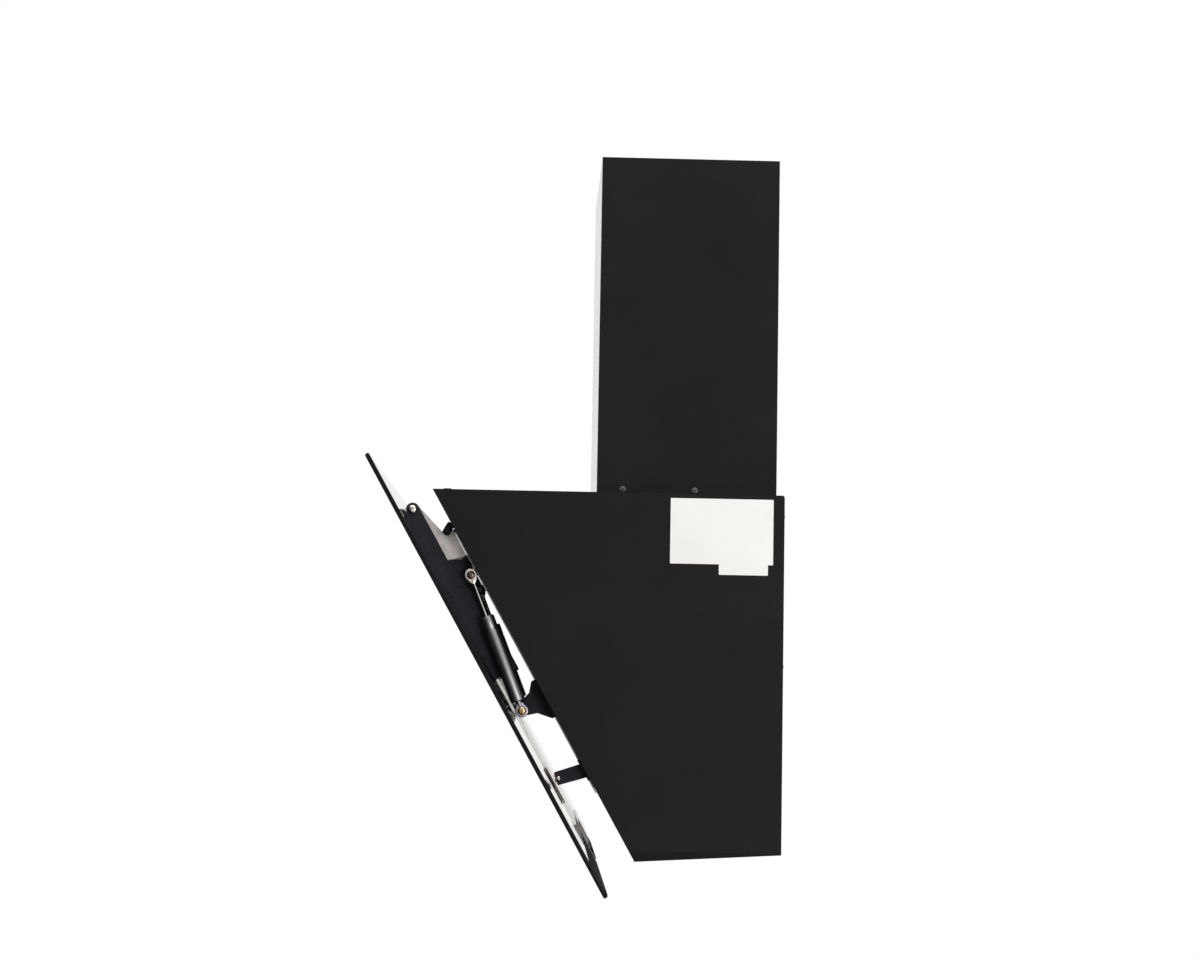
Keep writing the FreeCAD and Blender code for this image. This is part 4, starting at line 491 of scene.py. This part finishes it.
# %% [markdown]
# ## Where the new pieces go
#
# Most small pieces sit on the slanted front. Its own frame makes them easy to place: across
# the hood, down the slope from the body's top front edge, and out from the sheet. A piece is
# modelled at the origin with bmesh operators, and one helper then copies it to its places in
# a single mesh, shades it, and lets it ride on its body.

# %% The frame of the slanted front
MM = 0.001
LEAN = radians(29.6)
TOP_EDGE_OUT, TOP_EDGE_UP = 0.340, 0.150
FRONT = Matrix((
    (1, 0, 0, 0),
    (0, -sin(LEAN), -cos(LEAN), -TOP_EDGE_OUT),
    (0, cos(LEAN), -sin(LEAN), TOP_EDGE_UP),
    (0, 0, 0, 1),
))
HINGE, UPPER_EYE, LOWER_EYE = (6.2, 26.5), (90, 7), (228.3, 26)  # down and out
STRUT_PLANE = 185  # across


def on_front(across, down, out):
    """A point of the slanted front, from millimetres."""
    return FRONT @ (Vector((across, -down, out)) * MM)


print("upper strut eye at", [round(part, 4) for part in on_front(STRUT_PLANE, *UPPER_EYE)])


# %% Save a piece
SHARP_ANGLE = radians(32)


def save_piece(name, parts, body, places=(Matrix(),)):
    """One object with a copy of each (shape, finish) at each place."""
    whole = bmesh.new()
    finishes = []
    for shape, material in parts:
        if material not in finishes:
            finishes.append(material)
        for face in shape.faces:
            face.material_index = finishes.index(material)
        template = bpy.data.meshes.new(name + "_template")
        shape.to_mesh(template)
        shape.free()
        for matrix in places:
            known = set(whole.verts)
            whole.from_mesh(template)
            fresh = [vert for vert in whole.verts if vert not in known]
            bmesh.ops.transform(whole, matrix=matrix, verts=fresh)
        bpy.data.meshes.remove(template)
    bmesh.ops.recalc_face_normals(whole, faces=whole.faces)
    for face in whole.faces:
        face.smooth = True
    mesh = bpy.data.meshes.new(name)
    whole.to_mesh(mesh)
    whole.free()
    mesh.set_sharp_from_angle(angle=SHARP_ANGLE)
    for material in finishes:
        mesh.materials.append(material)
    piece = bpy.data.objects.new(name, mesh)
    scene.collection.objects.link(piece)
    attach(piece, body)
    print(name, len(mesh.polygons), "faces on", body)
    return piece


# %% Helpers for shapes
STAND_UP = Matrix(((0, 0, 1), (1, 0, 0), (0, 1, 0)))  # X and Y become Y and Z


def outwards(side, point):
    """A place at point whose Z points away from the middle, to the side 1 or -1."""
    return Matrix.Translation(point) @ Matrix.Rotation(side * pi / 2, 4, "Y")


def thicken(shape, thickness):
    """Raise flat faces to a solid that is thickness metres high."""
    grown = bmesh.ops.extrude_face_region(shape, geom=shape.faces[:])["geom"]
    raised = [part for part in grown if isinstance(part, bmesh.types.BMVert)]
    bmesh.ops.translate(shape, vec=(0, 0, thickness), verts=raised)


def round_off(shape, geom, radius, segments, affect="EDGES"):
    """Bevel edges or corners by a radius in millimetres."""
    bmesh.ops.bevel(
        shape, geom=geom, offset=radius * MM, affect=affect,
        segments=segments, profile=0.5, material=-1,
    )


print("a piece on the right side faces", outwards(1, (0, 0, 0)).to_3x3() @ Vector((0, 0, 1)))

# %% [markdown]
# ## Screws
#
# Nearly all fasteners here are pan-head screws with a cross recess. The head and shank are a
# profile spun round the Z axis. The recess is two tapered bars, turned a quarter from each
# other and taken away with a Boolean, which is how a punch makes the real one. The same
# helper serves the hinge bolts, the strut screws and the chimney screws.


# %% Spin a profile
def spun(profile, steps=48, closed=False):
    """A shape turned round Z from (radius, height) points in millimetres."""
    shape = bmesh.new()
    points = [shape.verts.new((radius * MM, 0, height * MM)) for radius, height in profile]
    pairs = list(zip(points, points[1:]))
    if closed:
        pairs.append((points[-1], points[0]))
    edges = [shape.edges.new(pair) for pair in pairs]
    bmesh.ops.spin(
        shape, geom=points + edges, cent=(0, 0, 0), axis=(0, 0, 1),
        angle=2 * pi, steps=steps, use_merge=True,
    )
    bmesh.ops.remove_doubles(shape, verts=shape.verts, dist=MM / 500)
    bmesh.ops.recalc_face_normals(shape, faces=shape.faces)
    return shape


# %% Cut a cross recess
def recess_cutter(top, reach, width, depth):
    """Two tapered bars, crossed, that go depth into a head whose top is at top."""
    shape = bmesh.new()
    for quarter in (0, pi / 2):
        arm = bmesh.ops.create_cube(shape, size=1)["verts"]
        bmesh.ops.scale(shape, vec=(2 * reach * MM, width * MM, 2 * depth * MM), verts=arm)
        low = [vert for vert in arm if vert.co.z < 0]
        bmesh.ops.scale(shape, vec=(0.3, 0.55, 1), verts=low)
        bmesh.ops.rotate(shape, matrix=Matrix.Rotation(quarter, 3, "Z"), verts=arm)
        bmesh.ops.translate(shape, vec=(0, 0, top * MM), verts=arm)
    return shape


def carved(shape, cutter):
    """The shape less the cutter."""
    carving = []
    for part in (shape, cutter):
        mesh = bpy.data.meshes.new("carving")
        part.to_mesh(mesh)
        part.free()
        carving.append(bpy.data.objects.new("carving", mesh))
        scene.collection.objects.link(carving[-1])
    cut = carving[0].modifiers.new("recess", "BOOLEAN")
    cut.operation = "DIFFERENCE"
    cut.solver = "EXACT"
    cut.use_self = True
    cut.object = carving[1]
    graph = bpy.context.evaluated_depsgraph_get()
    result = bpy.data.meshes.new_from_object(carving[0].evaluated_get(graph))
    made = bmesh.new()
    made.from_mesh(result)
    bpy.data.meshes.remove(result)
    for thing in carving:
        mesh = thing.data
        bpy.data.objects.remove(thing)
        bpy.data.meshes.remove(mesh)
    return made


DOME = [(1, 0), (1, 0.3), (0.96, 0.5), (0.86, 0.72), (0.7, 0.88), (0.45, 0.97), (0, 1)]


def head(radius, height):
    """The profile of a pan head over its seat at height 0, from its rim inwards."""
    return [(radius * r, height * z) for r, z in DOME]


print("a pan head has", len(DOME), "points")

# %% [markdown]
# The hinge bolts pass through the pivot bracket, a washer and the hinge arm into a hexagon
# nut. The eye screws have a shoulder that holds the strut's eye off its bracket. Each profile
# starts at the end of the shank, below the head's seat, and goes up to the head.


# %% Hinge bolts
BOLT_SEAT = 176.6


def beside(across, down, out):
    """A place on both sides of the hood, with Z pointing away from the middle."""
    return [outwards(side, on_front(side * across, down, out)) for side in (1, -1)]


def hexagon(radius, low, high):
    """A nut from low to high, with bevelled corners."""
    shape = bmesh.new()
    bmesh.ops.create_circle(shape, cap_ends=True, segments=6, radius=radius * MM)
    thicken(shape, (high - low) * MM)
    bmesh.ops.translate(shape, vec=(0, 0, low * MM), verts=shape.verts)
    round_off(shape, shape.edges[:], 0.35, 2)
    return shape


shank = [(0, -10.1), (3, -10.1), (3, -4.1), (5, -4.1), (5, -2.7), (3, -2.7), (3, 0)]
bolt = carved(spun(shank + head(4.2, 2.8)), recess_cutter(2.8, 2.5, 1.3, 1.5))
nut = hexagon(5, -10.1, -6.6)
hinge_bolts = save_piece(
    "detailed_hinge_bolts", [(bolt, bright_zinc), (nut, bright_zinc)],
    "hood_body", beside(BOLT_SEAT, *HINGE),
)
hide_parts("hinge_bolts")

# %% Eye screws
EYE_SEAT = 187.8


def eye_screw():
    """A shouldered screw whose head seats on the strut's eye."""
    shoulder = [(2.5, -11.3), (3.6, -11.3), (3.6, -5.6), (2.5, -5.6)]
    stem = [(0, -13.9), (2.5, -13.9)] + shoulder + [(2.5, 0)]
    return carved(spun(stem + head(4, 2.4)), recess_cutter(2.4, 2.3, 1.2, 1.4))


upper_screws = save_piece(
    "detailed_upper_eye_screws", [(eye_screw(), dark_steel)],
    "glass_panel", beside(EYE_SEAT, *UPPER_EYE),
)
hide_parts("upper_eye_screws")
lower_screws = save_piece(
    "detailed_lower_eye_screws", [(eye_screw(), brass)],
    "hood_body", beside(EYE_SEAT, *LOWER_EYE),
)
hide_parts("lower_eye_screws")

# %% [markdown]
# Four small black screws hold the chimney's foot, two on each side.

# %% Screws at the chimney's foot
CHIMNEY_SIDE, FOOT_UP = 0.125, 0.159
foot_places = [
    outwards(side, Vector((side * CHIMNEY_SIDE, -out, FOOT_UP)))
    for side in (1, -1) for out in (0.154, 0.082)
]
foot_screw = carved(
    spun([(0, -2.5), (1.9, -2.5), (1.9, 0)] + head(3.8, 2.2), steps=32),
    recess_cutter(2.2, 2.2, 1.0, 1.2),
)
foot_screws = save_piece(
    "detailed_chimney_screws", [(foot_screw, black_zinc)],
    "hood_body", foot_places,
)
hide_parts("chimney_screws")

# %% [markdown]
# Two low heads on the back edge of each side panel close the body. They stand 1 mm out of the
# back, as in the photograph, and are the only thing that leaves the box of the solids.

# %% Screws on the back edge
EDGE_ACROSS = 0.1925
edge_places = [
    Matrix.Translation((across, 0, up)) @ Matrix.Rotation(-pi / 2, 4, "X")
    for across in (EDGE_ACROSS, -EDGE_ACROSS) for up in (0.130, -0.015)
]
low_head = carved(
    spun([(0, -0.4), (2.8, -0.4), (2.8, 0)] + head(3.0, 1.0), steps=32),
    recess_cutter(1.0, 1.7, 0.8, 0.6),
)
save_piece(
    "back_edge_screws", [(low_head, black_zinc)], "hood_body", edge_places
)

# %% [markdown]
# ## Gas struts
#
# A gas strut is a lacquered cylinder and a chromed rod, each with an eye at its end. The
# cylinder is a spun profile with a rolled groove and rounded ends. An eye is a ring that
# runs out to a point at the neck: two circles bridged to a flat ring, pulled to a drop
# shape, extruded and bevelled. Rod and cylinder ride on bodies of their own, so that they
# turn and slide as the glass opens.


# %% The eye of a strut
def drop_eye(radius, hole, thick, point):
    """A flat eye in YZ, drawn out along +Z to point, with its thickness along X."""
    shape = bmesh.new()
    for size in (radius, hole):
        bmesh.ops.create_circle(shape, segments=48, radius=size * MM)
    bmesh.ops.bridge_loops(shape, edges=shape.edges[:])
    start = 0.6 * radius * MM
    for vert in shape.verts:
        if vert.co.y > start and vert.co.length > 0.8 * radius * MM:
            drawn = (point * MM - start) / (radius * MM - start)
            vert.co.y = start + (vert.co.y - start) * drawn
    thicken(shape, thick * MM)
    bmesh.ops.translate(shape, vec=(0, 0, -thick * MM / 2), verts=shape.verts)
    bmesh.ops.recalc_face_normals(shape, faces=shape.faces)
    rims = [edge for edge in shape.edges if edge.calc_face_angle(0) > radians(60)]
    round_off(shape, rims, 0.8, 3)
    bmesh.ops.rotate(shape, matrix=STAND_UP, verts=shape.verts)
    return shape


def along_strut(side, start, end):
    """Z runs from one eye to the other, and X is across the hood."""
    origin = on_front(side * STRUT_PLANE, *start)
    axis = (on_front(side * STRUT_PLANE, *end) - origin).normalized()
    across = Vector((1, 0, 0))
    turned = Matrix((across, axis.cross(across), axis)).transposed().to_4x4()
    return Matrix.Translation(origin) @ turned


strut_line = on_front(STRUT_PLANE, *UPPER_EYE) - on_front(STRUT_PLANE, *LOWER_EYE)
print("strut length", round(strut_line.length / MM, 1), "mm")

# %% Cylinder and rod on each side
EYE_SIZES = (6.3, 2.6, 5, 9.2)
CYLINDER = [
    (0, 4.6), (3, 4.6), (3, 9.6),  # neck
    (5.9, 9.6), (6.7, 9.9), (7.1, 10.5), (7.2, 11.4),  # rounded end
    (7.2, 81.4), (7.05, 81.9), (6.8, 82.4), (6.7, 82.8),  # rolled groove
    (6.8, 83.2), (7.05, 83.7), (7.2, 84.2),
    (7.2, 95.2), (7.1, 96), (6.7, 96.6), (6.1, 96.8),  # mouth
    (3.5, 96.8), (3.5, 92.8), (6.4, 92.8), (6.4, 14), (0, 14),  # gland and bore
]
ROD = [
    (0, 4.6), (2.6, 4.6), (2.6, 9), (2.4, 9.6), (2, 10.2),  # neck
    (2, 84), (5, 84), (5, 89), (0, 89),  # rod and piston
]
for hand, side in (("right", 1), ("left", -1)):
    cylinder = save_piece(
        f"strut_cylinder_{hand}",
        [(spun(CYLINDER, steps=64), lacquer), (drop_eye(*EYE_SIZES), grey_zinc)],
        f"{hand}_tube", [along_strut(side, LOWER_EYE, UPPER_EYE)],
    )
    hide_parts(f"strut_tube_{hand}")
    rod = save_piece(
        f"strut_piston_{hand}",
        [(spun(ROD, steps=40), chrome), (drop_eye(*EYE_SIZES), bright_zinc)],
        f"{hand}_rod", [along_strut(side, UPPER_EYE, LOWER_EYE)],
    )
    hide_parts(f"strut_rod_{hand}")

# %% [markdown]
# ## Striker, touch control and bumpers
#
# The lower parts on the glass are small boxes with rounded edges: a steel striker strip on two
# low pads, and the touch control, which has a thin pale base and cover, a grey strip and a
# black bar. A thin black sheet on the right, behind the glass, is a painted reflection of the
# dark surroundings in the glass's back. The rubber bumpers are rounded fingers, and the foot
# of each hinge arm has a bright sheared edge.


# %% A rounded box in the frame of the slanted front
def front_block(across, down, out, edge):
    """A box from three (low, high) spans and an edge radius, in millimetres."""
    shape = bmesh.new()
    bmesh.ops.create_cube(shape, size=1)
    spans = (across, (-down[1], -down[0]), out)
    bmesh.ops.scale(shape, vec=[(high - low) * MM for low, high in spans], verts=shape.verts)
    round_off(shape, shape.edges[:], edge, 3)
    middle = [(low + high) / 2 * MM for low, high in spans]
    bmesh.ops.translate(shape, vec=middle, verts=shape.verts)
    return shape


# %% Striker
striker = save_piece(
    "detailed_striker",
    [(front_block((163.25, 187.25), (288, 325), (31.3, 32.5), 0.3), striker_steel),
     (front_block((166, 186), (294.5, 307.5), (32.4, 33), 0.2), striker_steel),
     (front_block((187, 193.7), (294.5, 307.5), (32, 33), 0.3), black_rubber)],
    "glass_panel", [FRONT],
)
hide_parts("striker_strip")

# %% Touch control
cover_film = new_finish("cover_film", (226, 220, 214), 0.1)
vary_colour(cover_film, pattern(cover_film, 0.02), (220, 214, 208), (232, 227, 221))
vary_roughness(cover_film, pattern(cover_film, 0.02), 0.08, 0.12)
grey_strip = new_finish("grey_strip", (118, 118, 120), 0.15)
vary_colour(grey_strip, pattern(grey_strip, 0.006), (108, 108, 110), (128, 128, 130))
dull_black = new_finish("dull_black", (22, 22, 24), 0.7, specular=0.1)
vary_colour(dull_black, pattern(dull_black, 0.02), (18, 18, 20), (27, 27, 29))
touch = save_piece(
    "detailed_touch_control",
    [(front_block((-110, 110), (353, 393), (32.2, 33), 0.2), cover_film),
     (front_block((-109, 109.5), (353.4, 375), (29.6, 32.4), 0.5), cover_film),
     (front_block((-109, 109.5), (376.2, 379.6), (30.8, 32.4), 0.4), grey_strip),
     (front_block((-109, 109.5), (380.4, 392.6), (31.4, 32.4), 0.4), dull_black)],
    "glass_panel", [FRONT],
)
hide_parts("touch_control")
# A thin black sheet behind the glass on the right: a painted reflection of the dark surroundings.
save_piece(
    "painted_reflection_sheet", [(front_block((110.2, 443), (364, 395.6), (32.7, 33), 0.1), dull_black)],
    "glass_panel", [FRONT],
)

# %% Bumpers
FINGER = (8, 7.6, 13.4)
FINGER_LEAN = radians(30)

finger = bmesh.new()
bmesh.ops.create_cube(finger, size=MM)
bmesh.ops.scale(finger, vec=FINGER, verts=finger.verts)
round_off(finger, finger.edges[:], 2.6, 5)
bmesh.ops.bisect_plane(
    finger, geom=finger.verts[:] + finger.edges[:] + finger.faces[:],
    plane_co=(0, 0, -6.2 * MM), plane_no=(0, 0, -1), clear_outer=True,
)
bmesh.ops.holes_fill(finger, edges=[edge for edge in finger.edges if edge.is_boundary])
finger_places = [
    FRONT @ Matrix.Translation(Vector((side * STRUT_PLANE, -40.2, 4.9)) * MM)
    @ Matrix.Rotation(FINGER_LEAN, 4, "X")
    for side in (1, -1)
]
bumpers = save_piece(
    "rubber_bumpers", [(finger, black_rubber)], "hood_body", finger_places
)
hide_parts("bumpers")

# %% Sheared edges of the arm feet
FOOT_EDGE = 172.6
sheared = []
for side in (1, -1):
    across = (side * FOOT_EDGE - 0.15, side * FOOT_EDGE + 0.15)
    sheared.append((front_block(across, (42.8, 69.5), (0.1, 2.3), 0.1), cut_zinc))
save_piece("sheared_foot_edges", sheared, "hood_body", [FRONT])

# %% [markdown]
# ## Blank labels
#
# Two paper labels sit on the right side, a large one and a small one under its corner. They
# are left blank. Each is a thin sheet with cut corners, a fibre grain and a faint unevenness,
# and the small one is the thicker of the two, so that it lies on top where they overlap.

# %% Label paper
label_paper = new_finish("label_paper", (242, 240, 238), 0.5)
vary_colour(label_paper, pattern(label_paper, 0.03, detail=5), (241, 239, 236), (244, 243, 240))
vary_roughness(label_paper, pattern(label_paper, 0.01), 0.42, 0.58)
raise_grain(label_paper, pattern(label_paper, 0.0007), FINE)
print("paper made")

# %% Labels
BODY_SIDE = 0.2
PAPER, THICK_PAPER = 0.12 * MM, 0.2 * MM


def paper_sheet(front, back, low, high, thick):
    """A sheet on the right side panel, from y and z in metres."""
    shape = bmesh.new()
    bmesh.ops.create_grid(shape, x_segments=1, y_segments=1, size=0.5)
    bmesh.ops.scale(shape, vec=(back - front, high - low, 1), verts=shape.verts)
    round_off(shape, shape.verts[:], 0.7, 4, affect="VERTICES")
    thicken(shape, thick)
    bmesh.ops.rotate(shape, matrix=STAND_UP, verts=shape.verts)
    middle = (BODY_SIDE, (front + back) / 2, (low + high) / 2)
    bmesh.ops.translate(shape, vec=middle, verts=shape.verts)
    return shape


large = paper_sheet(-0.1103, -0.0108, 0.0824, 0.1456, PAPER)
small = paper_sheet(-0.0631, -0.0157, 0.0723, 0.0834, THICK_PAPER)
save_piece(
    "blank_labels", [(large, label_paper), (small, label_paper)], "hood_body"
)

# %% [markdown]
# ## Lamps
#
# Each lamp has a moulded lens with rings that spread its light, in a low round bezel. Both
# are spun. The tray under the body leans a few degrees, so the lamps face down along the
# tray's own axis.

# %% Lamp lenses and bezels
LAMP_ACROSS = 0.120
TRAY_LEAN = radians(3.3)
LENS_RADIUS, RING_COUNT, RING_STEP, RING_WIDTH = 23.9, 11, 2, 1.5

low_corner, high_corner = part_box("lamp_lenses")
lens_middle = (low_corner + high_corner) / 2
facing_down = Matrix.Rotation(pi, 4, "X") @ Matrix.Rotation(TRAY_LEAN, 4, "X")
lamp_places = [
    Matrix.Translation((across, lens_middle.y, lens_middle.z)) @ facing_down
    for across in (LAMP_ACROSS, -LAMP_ACROSS)
]
lens = [(0, -1.5), (LENS_RADIUS, -1.5), (LENS_RADIUS, 0.9), (23.4, 1.2)]
for number in range(RING_COUNT):
    outer = 22.6 - RING_STEP * number
    lens += [(outer, 1.2), (outer - RING_WIDTH, 1.5)]
lens.append((0, 1.3))
lenses = save_piece(
    "ringed_lamp_lenses", [(spun(lens, steps=64), lamp_lens)],
    "hood_body", lamp_places,
)
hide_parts("lamp_lenses")
rim = [
    (24, 0.75), (24, 1.7), (24.5, 2.1), (25.5, 2.25), (30.5, 2.2), (32, 1.9), (32.8, 1.4),
    (33, 0.75),
]
bezels = save_piece(
    "rounded_lamp_bezels", [(spun(rim, steps=64, closed=True), lamp_rim_coat)],
    "hood_body", lamp_places,
)
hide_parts("lamp_bezels")

# %% [markdown]
# ## The grease filter's net
#
# The filter's face is expanded aluminium: a sheet that is slit and pulled into diamonds. A
# square grid turned by 45 degrees and squeezed gives the diamonds, four cuts trim it to the
# frame, and the wireframe operator turns its edges into strands.

# %% Filter net
GRID_CELLS, HALF_GRID, SQUEEZE = 44, 0.22, (1.25, 0.75, 1)
STRAND, MARGIN, NET_OUT = 0.9 * MM, 2 * MM, 0.5 * MM

filter_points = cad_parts["filter_mesh"].data.vertices
flat_points = [FRONT.inverted() @ vert.co for vert in filter_points]
net_low = Vector(min(point[axis] for point in flat_points) for axis in range(3))
net_high = Vector(max(point[axis] for point in flat_points) for axis in range(3))
middle = (net_low + net_high) / 2
net = bmesh.new()
bmesh.ops.create_grid(net, x_segments=GRID_CELLS, y_segments=GRID_CELLS, size=HALF_GRID)
bmesh.ops.rotate(net, matrix=Matrix.Rotation(pi / 4, 3, "Z"), verts=net.verts)
bmesh.ops.scale(net, vec=SQUEEZE, verts=net.verts)
bmesh.ops.translate(net, vec=(middle.x, middle.y, net_high.z + NET_OUT), verts=net.verts)
for axis in range(2):
    for limit, out in ((net_low, -1), (net_high, 1)):
        normal = Vector((0, 0, 0))
        normal[axis] = out
        corner = Vector((0, 0, 0))
        corner[axis] = limit[axis] - out * MARGIN
        bmesh.ops.bisect_plane(
            net, geom=net.verts[:] + net.edges[:] + net.faces[:],
            plane_co=corner, plane_no=normal, clear_outer=True,
        )
bmesh.ops.wireframe(
    net, faces=net.faces[:], thickness=STRAND, use_replace=True,
    use_boundary=True, use_even_offset=True,
)
save_piece("filter_net", [(net, brushed)], "grease_filter", [FRONT])

# %% [markdown]
# ## Touch keys
#
# The control sits behind the lower edge of the glass, and only five printed rings show in
# front: on and off, less, more, timer and lamp. They are plain signs in thin grey ink, spun
# or made of short bars, and they ride with the glass.

# %% Printed keys
PRINT = 0.06
KEYS_DOWN, GLASS_FACE, KEY_PITCH = 373, 37, 36

key_print = new_finish("key_print", (168, 170, 173), 0.5)
vary_colour(key_print, pattern(key_print, 0.004), (160, 162, 165), (176, 178, 181))


def bar(across, down, width, height):
    """A short printed bar on a key."""
    shape = bmesh.new()
    bmesh.ops.create_cube(shape, size=MM)
    bmesh.ops.scale(shape, vec=(width, height, PRINT), verts=shape.verts)
    bmesh.ops.translate(shape, vec=(across * MM, -down * MM, PRINT / 2 * MM), verts=shape.verts)
    return shape


def ring(outer, inner):
    """A printed ring."""
    return spun([(inner, 0), (outer, 0), (outer, PRINT), (inner, PRINT)], closed=True)


KEYS = {
    "power": [ring(2.4, 1.9), bar(0, -1.8, 0.5, 2.2)],
    "less": [bar(0, 0, 4, 0.5)],
    "more": [bar(0, 0, 4, 0.5), bar(0, 0, 0.5, 4)],
    "timer": [ring(2.4, 1.9), bar(0, -0.8, 0.5, 1.6), bar(0.7, 0, 1.4, 0.5)],
    "lamp": [ring(1.7, 1.2), bar(0, 2.6, 2, 0.5)],
}
marks = []
for number, signs in enumerate(KEYS.values()):
    for sign in [ring(6.2, 5.8)] + signs:
        offset = (number - len(KEYS) // 2) * KEY_PITCH * MM
        bmesh.ops.translate(sign, vec=(offset, 0, 0), verts=sign.verts)
        marks.append((sign, key_print))
keys_place = FRONT @ Matrix.Translation(Vector((0, -KEYS_DOWN, GLASS_FACE)) * MM)
save_piece("printed_keys", marks, "glass_panel", [keys_place])
